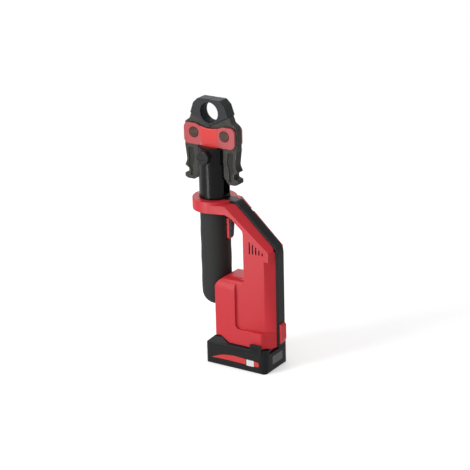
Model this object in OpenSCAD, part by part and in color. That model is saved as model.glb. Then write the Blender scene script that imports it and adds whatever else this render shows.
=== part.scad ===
// Battery press tool for plastic pipe: an upright drive unit in a D-shaped housing, a swivelling
// press head with a fork, and a pair of scissor jaws held by two side plates.
// The origin is on the cylinder axis, at the underside of the battery. +Z points up to the jaws,
// +X from the cylinder to the spine, and -Y to the side with the locking pin's knob.

/* [Battery] */
// Length of the battery pack along X
battery_l = 122; // [118:1:130]
// Height of the battery deck
battery_h = 43; // [42:0.5:46]
// Reach of the battery in front of the cylinder axis
battery_front = 4; // [2:0.5:8]
// Height of the parting line between the battery shells
battery_split = 33; // [32:0.5:34]
// Wall of the battery shells
battery_wall = 2.5; // [2:0.1:3]
// Height of the front hump above the deck
hump_h = 10; // [8:0.5:12]
// Diameter of a battery cell
cell_d = 18.2; // [17:0.1:18.6]
// Length of a battery cell
cell_l = 65; // [60:0.5:66]
// Distance between cells
cell_pitch = 20.4; // [19:0.1:20.6]

/* [Housing] */
// Width of the spine and arm
body_w = 58; // [54:0.5:60]
// Width of the lower bulge and of the base band
bulge_w = 66; // [64:0.5:68]
// Front face of the lower bulge
bulge_front = 14.5; // [13:0.5:18]
// Rear edge of the bulge, where the side panel starts
bulge_rear = 55.5; // [54:0.5:60]
// Height of the top of the bulge, the sill of the hand opening
sill_z = 160; // [155:0.5:165]
// Top of the base band
band_top = 72; // [68:0.5:76]
// Front face of the spine
spine_front = 70.5; // [68:0.5:73]
// Back face of the spine
spine_back = 123.5; // [122:0.5:126]
// Place where the arm starts to slope down
knee_x = 47.5; // [45:0.5:50]
// Slope of the arm
arm_slope = 42; // [40:0.5:44]
// Thickness of the arm, across its slope
arm_t = 14.3; // [13:0.1:16]
// Wall of the housing shells
wall = 3; // [2.5:0.1:3.5]
// Bottom of the collar
collar_z = 271.5; // [269:0.5:273]
// Height of the collar
collar_h = 20; // [19:0.5:22]
// Outer diameter of the collar
collar_d = 76; // [72:0.5:78]
// Top of the long chamfer on the spine
chamfer_top = 199; // [190:1:204]
// Start of the long chamfer, along X
chamfer_x = 109.5; // [108:0.5:112]
// Place along X of the crease beside the rear strip, above the long chamfer
shoulder_x = 118; // [116:0.5:120]
// Half width of the spine at that crease
shoulder_y = 24; // [22:0.5:26]
// Count of the vent slots on each side
vent_count = 5; // [3:1:5]
// Width of the rear strip
strip_w = 20; // [18:0.5:22]
// Height of the rear strip above the spine
strip_proud = 4.5; // [3:0.1:5]

/* [Grip and drive] */
// Outer diameter of the rubber grip
grip_d = 52; // [51:0.5:53]
// Bottom of the rubber grip
grip_bottom = 98; // [96:0.5:100]
// Outer diameter of the core tube
core_d = 45; // [44.5:0.1:45.5]
// Wall of the core tube
core_wall = 2; // [1.8:0.1:2.2]
// Diameter of the motor can
motor_d = 37; // [35:0.5:38]
// Length of the motor can
motor_l = 50; // [46:0.5:51]
// Gear module
gear_module = 0.7; // [0.65:0.01:0.72]
// Width of the gear teeth
gear_w = 10; // [8:0.5:11]
// Throw of the pump eccentric
throw = 1.2; // [0.8:0.1:1.4]
// Bottom of the trigger
trigger_z = 220.6; // [218:0.2:224]
// Height of the trigger
trigger_h = 37.4; // [34:0.2:38]
// Width of the trigger
trigger_w = 12; // [10:0.5:13]
// Travel of the trigger
trigger_travel = 2.5; // [1.5:0.1:2.5]

/* [Press head] */
// Outer diameter of the head tube
tube_d = 52; // [51:0.5:53]
// Top of the fork
fork_top = 381; // [379:0.5:382]
// Diameter of the cylinder bore
bore_d = 26; // [24:0.5:27]
// Outer diameter of the cylinder neck
neck_d = 36; // [35:0.5:36.5]
// Diameter of the piston rod
rod_d = 16; // [14:0.5:17]
// Stroke of the ram
stroke = 30; // [26:0.5:30]
// Diameter of the locking pin
lock_d = 14; // [12:0.5:15]
// Height of the locking pin
lock_z = 367; // [366:0.5:368]
// Diameter of a press roller
roller_d = 17; // [16:0.5:18]
// Height of the roller centres with the jaws closed
roller_z = 345; // [343:0.5:346]

/* [Jaws] */
// Distance between the jaw pins
pin_span = 60; // [58:0.5:62]
// Height of the jaw pins
pin_z = 402; // [401:0.5:404]
// Diameter of the jaw pins
pin_d = 14; // [12:0.5:15]
// Opening angle of each jaw
jaw_open = 12; // [8:0.5:12]
// Thickness of the jaw heads
head_t = 22; // [20:0.5:24]
// Thickness of the jaw webs between the side plates
web_t = 15.4; // [14:0.1:16]
// Thickness of the jaw arms outside the fork
arm_thick = 18; // [16.5:0.1:18.4]
// Thickness of a side plate
plate_t = 5; // [4:0.1:5.5]
// Diameter of the press contour, on its ribs
press_d = 32; // [26:0.5:33]
// Distance from the jaw pins up to the centre of the press contour
press_rise = 37; // [36:0.5:39]
// Distance from the centre of the press contour up to the top of the jaws
head_rise = 22.5; // [21:0.5:25]

/* [Hidden] */
$fn = 72;
arc_steps = 8;

// Clearances: running round fits, sliding faces, seated pieces and parting faces
run = 0.05;
slip = 0.4;
seat = 0.1;
part_gap = 0.5;
cut = 1;

red = [0.78, 0.07, 0.11];
black = [0.09, 0.09, 0.10];
rubber = [0.12, 0.12, 0.12];
steel = [0.62, 0.63, 0.65];
dark_steel = [0.20, 0.21, 0.21];
bronze = [0.72, 0.52, 0.27];
copper = [0.80, 0.46, 0.25];
board_green = [0.05, 0.33, 0.18];

// Battery places
battery_x0 = -battery_front;
battery_x1 = battery_x0 + battery_l;
cell_room = 3;
battery_w = cell_l + 2 * (battery_wall + cell_room);
battery_y = battery_w / 2;
battery_corner_front = 9;
battery_corner_rear = 14;
battery_edge = 4;
hump_x0 = 15;
hump_x1 = bulge_front + 12.5;
hump_x2 = hump_x1 + hump_h * 1.5;
hump_top = battery_h + hump_h;
rail_neck_w = 40;
rail_flange_w = 50;
rail_drop = 8.5;
rail_flange_t = 3.2;
terminal_x0 = hump_x2 + 1;
terminal_l = 6;
rail_x0 = terminal_x0 + terminal_l + 1;
rail_x1 = battery_x1 - 6;
blade_pitch = 9;
blade_count = 3;
blade_reach = 9;
blade_t = 1;
latch_x0 = battery_x1 - 31;
latch_l = 22;
latch_t = 3;
latch_travel = 2;
latch_z0 = 36;
latch_z1 = 52;
latch_y = battery_y + 0.5;

// Housing places
base_z = battery_h + part_gap;
body_y = body_w / 2;
bulge_y = bulge_w / 2;
collar_top = collar_z + collar_h;
housing_top = collar_top - strip_proud;
strip_y = strip_w / 2;
strip_depth = 3;
strip_rib = strip_depth + wall;
taper_x = knee_x - 7.5;
collar_r = collar_d / 2;
bulge_corner = 4;
bend_r = 20;
knee_r = 5;
sill_r = 12;
crown_r = 20;
bulge_top_r = 25;
under_r = 10;
under_knee_r = 30;
vent_pitch = 6;
vent_w = 2.2;
vent_z = 210;
vent_h = 21;
vent_drop = 4;
vent_x = spine_front + 12.5;

// Drive places, along the axis
grip_r = grip_d / 2;
core_r = core_d / 2;
core_in = core_r - core_wall;
core_top = collar_z + 8.8;
cap_z = grip_bottom + 16;
cap_flange = 3.5;
core_bottom = cap_z + cap_flange;
cap_spigot = 3;
motor_z = core_bottom + cap_spigot + 1;
motor_top = motor_z + motor_l;
motor_plate = 3;
shaft_r = 2.5;
bearing_r = 5.5;
gear_z = motor_top + 3;
sun_teeth = 12;
planet_teeth = 18;
ring_teeth = sun_teeth + 2 * planet_teeth;
gear_reach = gear_module * (sun_teeth + planet_teeth) / 2;
planet_pin_r = 1.8;
carrier_z = gear_z + gear_w + 1;
carrier_t = 4;
pump_z = carrier_z + carrier_t + 4;
eccentric_z = pump_z + 6;
eccentric_h = 10;
eccentric_r = 6;
journal_r = 3;
journal_h = 5;
drive_shaft_r = 4;
plunger_r = 3;
plunger_z = eccentric_z + eccentric_h / 2;
plunger_x = eccentric_r + throw + 0.2;
plunger_l = 8;
cylinder_z = 226;
pump_top = cylinder_z - 2;
spigot_top = cylinder_z + 5;
swivel_top = core_top - 2;
bush_h = 15;
swivel_ring_h = 2;
neck_r = neck_d / 2;

// Trigger places
trigger_y = trigger_w / 2;
trigger_in = core_r + trigger_travel + 0.2;
trigger_out = grip_r + 5;
pad_out = trigger_out + 4;
bezel_rim = 2;
bezel_y = trigger_y + slip + bezel_rim;
bezel_z0 = trigger_z - slip - bezel_rim;
bezel_z1 = trigger_z + trigger_h + slip + bezel_rim;
switch_z = trigger_z + trigger_h / 2;
switch_h = 16;
switch_w = 10;
switch_in = neck_r + 0.8;
switch_out = core_r - 0.4;
stem_r = 2;

// Return button places, low on the back of the spine
button_z0 = 50;
button_z1 = 85;
button_y = 8;
button_out = spine_back + strip_proud + 4;
button_in = spine_back + 0.5;
button_travel = 2.5;
button_stem_r = 4;
button_stem_l = 14;
button_z = (button_z0 + button_z1) / 2;

// Press head places
tube_r = tube_d / 2;
tube_z = core_top + part_gap;
bore_r = bore_d / 2;
rod_r = rod_d / 2;
gland_z = tube_z + 6.2;
gland_h = 11;
gland_r = bore_r - 1;
slot_z = gland_z + gland_h;
arm_y = arm_thick / 2;
slot_y = arm_y + part_gap;
plate_in = web_t / 2 + 0.3;
plate_out = plate_in + plate_t;
plate_slot_y = plate_out + slip;
lock_r = lock_d / 2;
tongue_r = lock_r + 6;
plate_slot_z = lock_z - tongue_r - 2;
boss_r = lock_r + 5.5;
boss_out = tube_r + 3.5;
knob_r = lock_r + 5;
knob_l = 6;
roller_r = roller_d / 2;
roller_x = roller_r + 0.3;
roller_y = 4.8;
roller_pin_r = 4;
yoke_y = slot_y - 0.6;
yoke_z = roller_z - 15;
yoke_x = roller_x + 6;
piston_h = 8;
spring_room = 14;
piston_top = gland_z - spring_room;

// Jaw places
pin_x = pin_span / 2;
pin_r = pin_d / 2;
pin_head_r = pin_r + 1.7;
pin_head_t = 1.8;
jaw_gap = 0.15;
web_y = web_t / 2;
head_y = head_t / 2;
press_z = pin_z + press_rise;
jaw_top = press_z + head_rise;
press_r = press_d / 2;
press_rim = press_r + 1.8;
press_groove = press_r + 1.3;
rib_w = 2.2;
rib_pitch = 5;
vee_z = press_z - 23;
vee_rise = 0.512;
jaw_x = 51.5;
plate_x = 50;
plate_z0 = pin_z - 21;
plate_z1 = pin_z + 15.5;
plate_dip = 6;
plate_corner = 9;
jaw_foot = 318;
cam_gap = 0.4;
cam_steps = 20;

// Small shapes that many pieces share

// Unit vector of a plane vector
function unit(v) = v / norm(v);

// Points of a round corner of radius r at b, between a and c
function corner(a, b, c, r) =
    let (u = unit(a - b), w = unit(c - b), half = acos(u * w) / 2,
         m = b + unit(u + w) * r / sin(half), s = b + u * r / tan(half) - m, e = b + w * r / tan(half) - m,
         start = atan2(s.y, s.x), turn = atan2(s.x * e.y - s.y * e.x, s * e))
    [for (i = [0:arc_steps]) m + r * [cos(start + turn * i / arc_steps), sin(start + turn * i / arc_steps)]];

// Outline through points [x, y, corner radius]
function rounded(p) = [for (i = [0:len(p) - 1])
    let (a = p[(i + len(p) - 1) % len(p)], b = p[i], c = p[(i + 1) % len(p)])
    each b.z > 0 ? corner([a.x, a.y], [b.x, b.y], [c.x, c.y], b.z) : [[b.x, b.y]]];

module outline(p) { polygon(rounded(p)); }

// Extrusions along Y of an X-Z outline, along X of a Y-Z outline, and along Z
module slab_y(y0, y1) { translate([0, y1, 0]) rotate([90, 0, 0]) linear_extrude(y1 - y0) children(); }
module slab_x(x0, x1) { translate([x0, 0, 0]) rotate([90, 0, 90]) linear_extrude(x1 - x0) children(); }
module slab_z(z0, z1) { translate([0, 0, z0]) linear_extrude(z1 - z0) children(); }

module rod_x(r, x0, x1) { translate([x0, 0, 0]) rotate([0, 90, 0]) cylinder(r = r, h = x1 - x0); }
module rod_y(r, y0, y1) { translate([0, y1, 0]) rotate([90, 0, 0]) cylinder(r = r, h = y1 - y0); }
module rod_z(r, z0, z1) { translate([0, 0, z0]) cylinder(r = r, h = z1 - z0); }

module ring_z(outer, inner, z0, z1) {
    difference() {
        rod_z(outer, z0, z1);
        rod_z(inner, z0 - cut, z1 + cut);
    }
}

module block(a, b) { translate(a) cube(b - a); }

// Rectangle between two corners with round corners of radius r
module round_rect(x0, y0, x1, y1, r) {
    outline([[x0, y0, r], [x1, y0, r], [x1, y1, r], [x0, y1, r]]);
}

// Coil spring along Z from z0 to z1: one wire swept round the axis, with 6 sides
module coil(mean_r, wire_r, z0, z1, turns) {
    sides = 6;
    per_turn = 14;
    rings = turns * per_turn;
    climb = (z1 - z0 - 2 * wire_r) / rings;
    points = [for (i = [0:rings]) for (k = [0:sides - 1])
        let (a = 360 * i / per_turn, t = 360 * k / sides, r = mean_r + wire_r * cos(t))
        [r * cos(a), r * sin(a), z0 + wire_r + climb * i + wire_r * sin(t)]];
    last = rings * sides;
    walls = [for (i = [0:rings - 1]) for (k = [0:sides - 1])
        let (p = i * sides + k, q = i * sides + (k + 1) % sides)
        each [[p, p + sides, q + sides], [p, q + sides, q]]];
    first_end = [for (k = [1:sides - 2]) [0, k, k + 1]];
    last_end = [for (k = [1:sides - 2]) [last, last + k + 1, last + k]];
    polyhedron(points, concat(walls, first_end, last_end));
}

// Housing

// Corner points of the arm's outer face, moved outwards by n
function knee(n) = [knee_x + n * tan(arm_slope / 2), housing_top + n];
function bend(n) = [spine_back + n,
    housing_top - (spine_back - knee_x) * tan(arm_slope) + n * tan(45 - arm_slope / 2)];

// Place along X where the face n outside the arm's outer face has the height z
function arm_x(n, z) = knee(n).x + (knee(n).y - z) / tan(arm_slope);
function arm_z(n, x) = knee(n).y - (x - knee(n).x) * tan(arm_slope);

// Side outline of the spine, the arm and the foot of the hand opening
module body_outline() {
    outline([
        [0, housing_top, 0], [knee(0).x, knee(0).y, knee_r], [bend(0).x, bend(0).y, bend_r],
        [spine_back, base_z, 0], [hump_x2, base_z, 0], [hump_x2, sill_z, 0],
        [spine_front, sill_z, sill_r], [spine_front, arm_z(-arm_t, spine_front), under_r],
        [arm_x(-arm_t, collar_z), collar_z, under_knee_r], [0, collar_z, 0]
    ]);
}

// Side outline of the bulge and the base band
module bulge_outline() {
    outline([
        [bulge_front, hump_top + 1, 2], [hump_x1, hump_top + 1, 3], [hump_x2, base_z, 3],
        [spine_back, base_z, 0], [spine_back, band_top, 0], [bulge_rear, band_top, 8],
        [bulge_rear, sill_z, 0], [bulge_front, sill_z, bulge_top_r]
    ]);
}

// Plan outline of the base band and the bulge: round front corners, chamfered rear ones
module bulge_plan(inset) {
    y = bulge_y - inset;
    rear = chamfer_x - 3;
    outline([
        [bulge_front + inset, -y, bulge_corner - inset], [rear, -y, 5], [spine_back - inset, -strip_y, 0],
        [spine_back - inset, strip_y, 0], [rear, y, 5], [bulge_front + inset, y, bulge_corner - inset]
    ]);
}

// Cross-section of the bulge, with its crowned top
module crown(inset) {
    y = bulge_y - inset;
    top = sill_z - inset;
    outline([[-y, 0, 0], [y, 0, 0], [y, top, crown_r - inset], [-y, top, crown_r - inset]]);
}

// Half width of the body at x: it narrows from the knee to the crease beside the strip
function side_y(x) = body_y - (body_y - shoulder_y) * max(x - taper_x, 0) / (shoulder_x - taper_x);

// Tapered sides with shoulders beside the rear strip, and the long chamfers below the vents
module spine_chamfers() {
    outside = bulge_y + 5;
    behind = spine_back + strip_proud;
    for (s = [-1, 1]) {
        slab_z(base_z - cut, collar_top + cut) polygon([
            [taper_x, s * body_y], [shoulder_x, s * shoulder_y], [spine_back, s * strip_y],
            [behind, s * strip_y], [behind, s * outside], [taper_x, s * outside]
        ]);
        slab_z(base_z - cut, chamfer_top) polygon([
            [chamfer_x, s * side_y(chamfer_x)], [spine_back, s * strip_y], [behind, s * strip_y],
            [behind, s * outside], [chamfer_x, s * outside]
        ]);
    }
}

// The same shoulders along the arm, which run out at its knee
module arm_chamfers() {
    outside = bulge_y + 5;
    fall = (spine_back - shoulder_x) / (shoulder_y - strip_y);
    reach = spine_back / cos(arm_slope);
    for (s = [-1, 1]) translate([knee(0).x, 0, knee(0).y]) rotate([0, arm_slope, 0])
        slab_x(-reach, reach) polygon([
            [s * strip_y, 0], [s * outside, -fall * (outside - strip_y)], [s * outside, reach], [s * strip_y, reach]
        ]);
}

// Wings that carry the arm's sides over to the wide collar
module collar_wings() {
    start = 8;
    side = sqrt(collar_r * collar_r - start * start) - 0.05;
    intersection() {
        slab_y(-collar_r, collar_r) body_outline();
        slab_z(collar_z, collar_top) polygon([
            [0, -side], [start, -side], [taper_x, -body_y], [taper_x, body_y], [start, side], [0, side]
        ]);
    }
}

module housing_solid() {
    difference() {
        union() {
            intersection() {
                slab_y(-body_y, body_y) body_outline();
                union() {
                    slab_x(0, spine_front) crown(0);
                    block([spine_front, -bulge_y, 0], [spine_back + cut, bulge_y, collar_top]);
                    block([0, -bulge_y, sill_z + cut], [spine_front, bulge_y, collar_top]);
                }
            }
            collar_wings();
        }
        spine_chamfers();
        arm_chamfers();
    }
    intersection() {
        slab_y(-bulge_y, bulge_y) bulge_outline();
        slab_z(0, sill_z + cut) bulge_plan(0);
        slab_x(0, spine_back) crown(0);
    }
    rod_z(collar_r, collar_z, collar_top);
}

// Side outline of the spine's hollow, depth below the arm's outer face
module hollow_outline(depth) {
    rear = spine_back - strip_rib;
    front = spine_front + wall;
    outline([
        [front, base_z + wall, 2], [rear, base_z + wall, 2], [rear, arm_z(-depth, rear), bend_r - strip_rib],
        [front, arm_z(-depth, front), 1]
    ]);
}

// Hollow of the spine and, narrower, of the upper bend
module spine_hollow() {
    y = body_y - wall;
    narrow = shoulder_y - 2 * wall;
    rear = spine_back - strip_rib;
    intersection() {
        union() {
            slab_y(-y, y) hollow_outline(arm_t + wall);
            slab_y(-narrow, narrow) hollow_outline(strip_rib);
        }
        slab_z(0, collar_top) polygon([
            [0, -y], [taper_x, -y], [shoulder_x - 3 * wall, wall - shoulder_y], [rear, -strip_y - wall],
            [rear, strip_y + wall], [shoulder_x - 3 * wall, shoulder_y - wall], [taper_x, y], [0, y]
        ]);
    }
}

// Hollow of the bulge, clear of the round pocket that takes the grip
module bulge_hollow() {
    inner = side_y(spine_front + 2 * wall);
    difference() {
        intersection() {
            slab_y(-bulge_y, bulge_y) outline([
                [bulge_front + wall, hump_top + 1 + wall, 1], [hump_x1 + 1, hump_top + 1 + wall, 1],
                [hump_x2 + 1, base_z + wall, 1], [spine_front + 2 * wall, base_z + wall, 0],
                [spine_front + 2 * wall, sill_z - wall - sill_r, 0], [bulge_rear - wall, sill_z - wall, 0],
                [bulge_front + wall, sill_z - wall, bulge_top_r - wall]
            ]);
            slab_x(0, spine_back) crown(wall);
            slab_z(0, sill_z) bulge_plan(wall);
            union() {
                block([0, wall - inner, 0], [spine_back, inner - wall, sill_z]);
                block([0, -bulge_y, 0], [bulge_rear - wall, bulge_y, sill_z]);
            }
        }
        rod_z(grip_r + wall, grip_bottom - 2 * wall, sill_z + cut);
    }
}

// Screw places on the X-Z plane
screw_spots = [
    [bulge_front + 10, hump_top + 13], [spine_front + 6, band_top + 4], [chamfer_x - 6, base_z + 12],
    [bulge_rear - 13, sill_z - 20], [spine_front + 6.5, sill_z - 10],
    [spine_front + 6.5, vent_z + 12],
    [knee_x + 10.5, arm_z(-arm_t / 2, knee_x + 10.5)]
];
screw_r = 1.6;
screw_head_r = 3.2;
screw_head_t = 2.6;
screw_seat = 10;
screw_l = 20;
post_r = 4.2;

// Place along Y where the post at p ends: in the middle of the side wall, or inside the solid arm
function post_end(p) = p.y > collar_z - arm_t ? strip_y : (p.x < bulge_rear ? bulge_y : side_y(p.x)) - wall / 2;

// Board places
board_x0 = spine_front + 13.5;
board_x1 = spine_front + 39.5;
board_z0 = 80;
board_z1 = 205;
board_t = 1.6;
board_hole_r = 1.3;
board_post_r = 2.7;
board_spots = [for (x = [board_x0 + 4, board_x1 - 4]) for (z = [board_z0 + 7, board_z1 - 14]) [x, z]];

// Posts inside the shells: screw posts on both sides, and on the right the board's and the switch's
module housing_posts() {
    for (p = screw_spots) translate([p.x, 0, p.y]) rod_y(post_r, -post_end(p), post_end(p));
    for (p = board_spots) translate([p.x, 0, p.y]) rod_y(board_post_r, board_t / 2, side_y(p.x) - wall / 2);
    block([return_switch_x0, return_switch_y, button_z - 5],
          [return_switch_x1, side_y(return_switch_x1) - wall / 2, button_z + 5]);
}

// Rail under the base that the battery slides on, and the plate that closes the base
module battery_rail() {
    neck = rail_neck_w / 2;
    flange = rail_flange_w / 2;
    z0 = base_z - rail_drop;
    block([rail_x0, -neck, z0 + rail_flange_t - cut], [rail_x1, neck, base_z + wall]);
    block([rail_x0, -flange, z0], [rail_x1, flange, z0 + rail_flange_t]);
}

// Groove for the rear strip
module strip_groove() {
    slab_y(-strip_y - seat, strip_y + seat) strip_band(cut + strip_proud, -strip_depth, 0, 0);
}

// Band that follows the back of the spine and the arm, between two offsets
module strip_band(outer, inner, front, bottom) {
    outline([
        [front, housing_top + outer, 0], [knee(outer).x, knee(outer).y, knee_r + outer],
        [bend(outer).x, bend(outer).y, bend_r + outer], [spine_back + outer, bottom, 0],
        [spine_back + inner, bottom, 0], [bend(inner).x, bend(inner).y, bend_r + inner],
        [knee(inner).x, knee(inner).y, knee_r + inner], [front, housing_top + inner, 0]
    ]);
}

// Everything that is cut through both shells: seats for the drive, vents, slots and stems
module housing_cuts() {
    rod_z(core_r + run, collar_z - cut, core_top);
    rod_z(tube_r + slip, core_top, collar_top + cut);
    rod_z(grip_r + 0.3, grip_bottom - part_gap, collar_z - part_gap / 2);
    strip_groove();
    for (i = [0:vent_count - 1]) translate([vent_x + i * vent_pitch, 0, vent_z])
        slab_y(-bulge_y, bulge_y) round_rect(-vent_w / 2, 0, vent_w / 2, vent_h - i * vent_drop, 0.9);
    translate([0, 0, button_z]) rod_x(button_stem_r + slip, spine_back - strip_rib - 3, spine_back + cut);
    block([terminal_x0 - 0.2, -terminal_y - 0.2, base_z - cut], [rail_x0, terminal_y + 0.2, base_z + wall + cut]);
    lead_holes(slip, bulge_front, grip_r + 3 * wall);
}

module housing_half(side) {
    difference() {
        intersection() {
            union() {
                difference() {
                    housing_solid();
                    spine_hollow();
                    bulge_hollow();
                }
                housing_posts();
                battery_rail();
            }
            block([-50, side < 0 ? -50 : 0, 0], [150, side < 0 ? 0 : 50, collar_top + cut]);
        }
        housing_cuts();
        for (p = screw_spots) translate([p.x, 0, p.y]) {
            rod_y(screw_r + run, screw_seat - screw_l - 1, screw_seat + cut);
            rod_y(screw_head_r + slip, screw_seat, bulge_y + cut);
        }
        for (p = board_spots) translate([p.x, 0, p.y]) rod_y(board_hole_r - 0.2, -cut, board_t / 2 + 8);
    }
}

module housing_left() { color(red) housing_half(-1); }
module housing_right() { color(red) housing_half(1); }

module housing_screws() {
    color(dark_steel) for (p = screw_spots) translate([p.x, 0, p.y]) difference() {
        union() {
            rod_y(screw_r, screw_seat - screw_l, screw_seat + cut);
            rod_y(screw_head_r, screw_seat, screw_seat + screw_head_t);
        }
        translate([0, screw_seat + screw_head_t - 1.6, 0]) rotate([-90, 0, 0]) cylinder(r = 1.5, h = 3, $fn = 6);
    }
}

// Strip along the back of the spine and the arm, with the window of the return button
module spine_cover() {
    color(black) difference() {
        slab_y(-strip_y, strip_y) strip_band(strip_proud, -strip_depth + seat, tube_r / 2, base_z + 0.5);
        rod_z(tube_r + 0.8, collar_z, collar_top + cut);
        block([spine_back - 5, -button_y - slip, button_z0 - slip],
              [spine_back + 10, button_y + slip, button_z1 + slip]);
        translate([0, 0, button_z]) rod_x(button_stem_r + slip, spine_back - 9, spine_back + cut);
    }
}

module return_button() {
    color(red) {
        slab_y(-button_y, button_y) outline([
            [button_in, button_z0, 0], [button_out - 2, button_z0, 2], [button_out, button_z0 + 8, 6],
            [button_out, button_z1 - 3, 2.5], [button_out - 3, button_z1, 1.5], [button_in, button_z1, 0]
        ]);
        translate([0, 0, button_z]) rod_x(button_stem_r, button_in - button_stem_l, button_in + cut);
    }
}

// Switch behind the return button, on a shelf of the right shell
return_switch_x1 = button_in - button_stem_l - button_travel - 0.3;
return_switch_x0 = return_switch_x1 - 9;
return_switch_y = 5;
module return_switch() {
    color(black) difference() {
        block([return_switch_x0, -return_switch_y, button_z - 6], [return_switch_x1, return_switch_y, button_z + 6]);
        translate([0, 0, button_z]) rod_x(2, return_switch_x1 - 2, return_switch_x1 + cut);
    }
}

// Terminals between the housing and the battery
terminal_y = blade_pitch * (blade_count - 1) / 2 + 6;
terminal_top = base_z + wall + 10;
function blade_y(i) = (i - (blade_count - 1) / 2) * blade_pitch;

module terminal_block() {
    color(black) difference() {
        union() {
            block([terminal_x0, -terminal_y, base_z - 5], [rail_x0 - 0.2, terminal_y, base_z + wall + cut]);
            block([terminal_x0, -terminal_y - 3, base_z + wall], [rail_x0 + 8, terminal_y + 3, terminal_top]);
        }
        for (i = [0:blade_count - 1]) blade(i, seat / 2);
    }
}

// One contact blade: a foot in the block and a tongue that reaches into the battery
module blade(i, grow) {
    y = blade_y(i);
    half = blade_t / 2 + grow;
    slab_y(y - half, y + half) polygon([
        [terminal_x0 - blade_reach, base_z - 4.5 - grow], [terminal_x0 + 4 + grow, base_z - 4.5 - grow],
        [terminal_x0 + 4 + grow, terminal_top + 4], [terminal_x0 + 1 - grow, terminal_top + 4],
        [terminal_x0 + 1 - grow, base_z - 1.5 + grow], [terminal_x0 - blade_reach, base_z - 1.5 + grow]
    ]);
}

module terminal_blades() { color(copper) for (i = [0:blade_count - 1]) blade(i, 0); }

// Control board in the spine
module control_board() {
    color(board_green) difference() {
        slab_y(-board_t / 2, board_t / 2) round_rect(board_x0, board_z0, board_x1, board_z1, 1.5);
        for (p = board_spots) translate([p.x, 0, p.y]) rod_y(board_hole_r + 0.2, -board_t, board_t);
    }
}

module board_parts() {
    x = (board_x0 + board_x1) / 2;
    color(black) {
        for (i = [0:2]) translate([x - 6 + 6 * i, 0, board_z1 - 28]) rod_y(2.8, -board_t / 2 - 12, -board_t / 2);
        for (i = [0:5]) block([x - 9 + 6.5 * (i % 3), -board_t / 2 - 4, board_z0 + 26 + 22 * floor(i / 3)],
                              [x - 4 + 6.5 * (i % 3), -board_t / 2, board_z0 + 41 + 22 * floor(i / 3)]);
        block([x - 6, -board_t / 2 - 2, board_z0 + 74], [x + 6, -board_t / 2, board_z0 + 86]);
        block([x - 8, -board_t / 2 - 9, board_z0 + 11], [x + 4, -board_t / 2, board_z0 + 23]);
    }
}

module board_screws() {
    color(steel) for (p = board_spots) translate([p.x, 0, p.y]) {
        rod_y(board_hole_r - 0.2 - run / 2, -board_t / 2, board_t / 2 + 7);
        rod_y(2.4, -board_t / 2 - 1.8, -board_t / 2);
    }
}

// Three leads from the motor through the bulge to the right face of the board
lead_r = 1.1;
lead_z = motor_z + 8;
lead_count = 3;
function lead_y(i) = board_t / 2 + 1.8 + 3.8 * i;
function lead_start(i) = sqrt(pow(motor_d / 2, 2) - pow(lead_y(i), 2)) - 0.5;
function lead_end(i) = board_x0 + 5 + 4 * i;
module motor_leads() {
    color(rubber) for (i = [0:lead_count - 1]) translate([0, 0, lead_z]) {
        translate([0, lead_y(i), 0]) rod_x(lead_r, lead_start(i), lead_end(i));
        translate([lead_end(i), lead_y(i), 0]) sphere(r = lead_r);
        translate([lead_end(i), 0, 0]) rod_y(lead_r, board_t / 2, lead_y(i));
    }
}

// Holes for the leads, from x0 to x1
module lead_holes(gap, x0, x1) {
    for (i = [0:lead_count - 1]) translate([0, lead_y(i), lead_z]) rod_x(lead_r + gap, x0, x1);
}

// Grip and drive unit

// Radius of the grip at height z: a slow wave for the fingers
wave_l = 44;
wave_a = 0.5;
function grip_wave(z) = grip_r - wave_a * (1 - cos(360 * (collar_z - z) / wave_l)) / 2;
grip_top = collar_z - part_gap;
grip_corner = 25;
grip_steps = 36;

module grip_sleeve() {
    wave_z0 = grip_bottom + grip_corner + 2;
    waves = [for (i = [0:grip_steps]) let (z = wave_z0 + (grip_top - wave_z0) * i / grip_steps) [grip_wave(z), z]];
    dome = corner([0, grip_bottom], [grip_wave(wave_z0), grip_bottom], waves[0], grip_corner);
    bore = [[core_r + run, grip_top], [core_r + run, cap_z], [0, cap_z]];
    color(rubber) difference() {
        rotate_extrude() polygon(concat([[0, grip_bottom]], dome, waves, bore));
        block([0, -bezel_y - seat, bezel_z0 - seat], [grip_r + cut, bezel_y + seat, bezel_z1 + seat]);
        lead_holes(seat, 0, grip_r + cut);
    }
}

module core_tube() {
    color(steel) difference() {
        ring_z(core_r, core_in, core_bottom, core_top);
        block([0, -switch_w / 2 - seat, switch_z - switch_h / 2 - seat],
              [core_r + cut, switch_w / 2 + seat, switch_z + switch_h / 2 + seat]);
        lead_holes(seat, 0, core_r + cut);
    }
}

module core_end_cap() {
    color(steel) {
        rod_z(core_r, cap_z, core_bottom);
        rod_z(core_in - run, core_bottom - cut, core_bottom + cap_spigot);
    }
}

// Motor can with an end plate and a bearing seat at each end
module motor_can() {
    r = motor_d / 2;
    color(dark_steel) difference() {
        union() {
            rod_z(r, motor_z, motor_top);
            rod_z(core_in - run, motor_z - 1, motor_z + 4);
            rod_z(core_in - run, motor_top - 6, motor_top);
        }
        rod_z(r - 2, motor_z + motor_plate, motor_top - motor_plate);
        rod_z(bearing_r, motor_z - 2, motor_top + cut);
        lead_holes(seat, r - 6, r + cut);
    }
}

stator_in = 11;
module stator() {
    z0 = motor_z + motor_plate + 8;
    z1 = motor_top - motor_plate - 6;
    color(copper) difference() {
        ring_z(motor_d / 2 - 2 - run, stator_in, z0, z1);
        for (i = [0:8]) rotate([0, 0, 40 * i]) block([stator_in - 2, -0.6, z0 - cut], [stator_in + 3, 0.6, z1 + cut]);
    }
}

module motor_bearings() {
    color(steel) for (z = [motor_z - 1, motor_top - 4]) ring_z(bearing_r - run / 2, shaft_r + run, z, z + 4);
}

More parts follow.
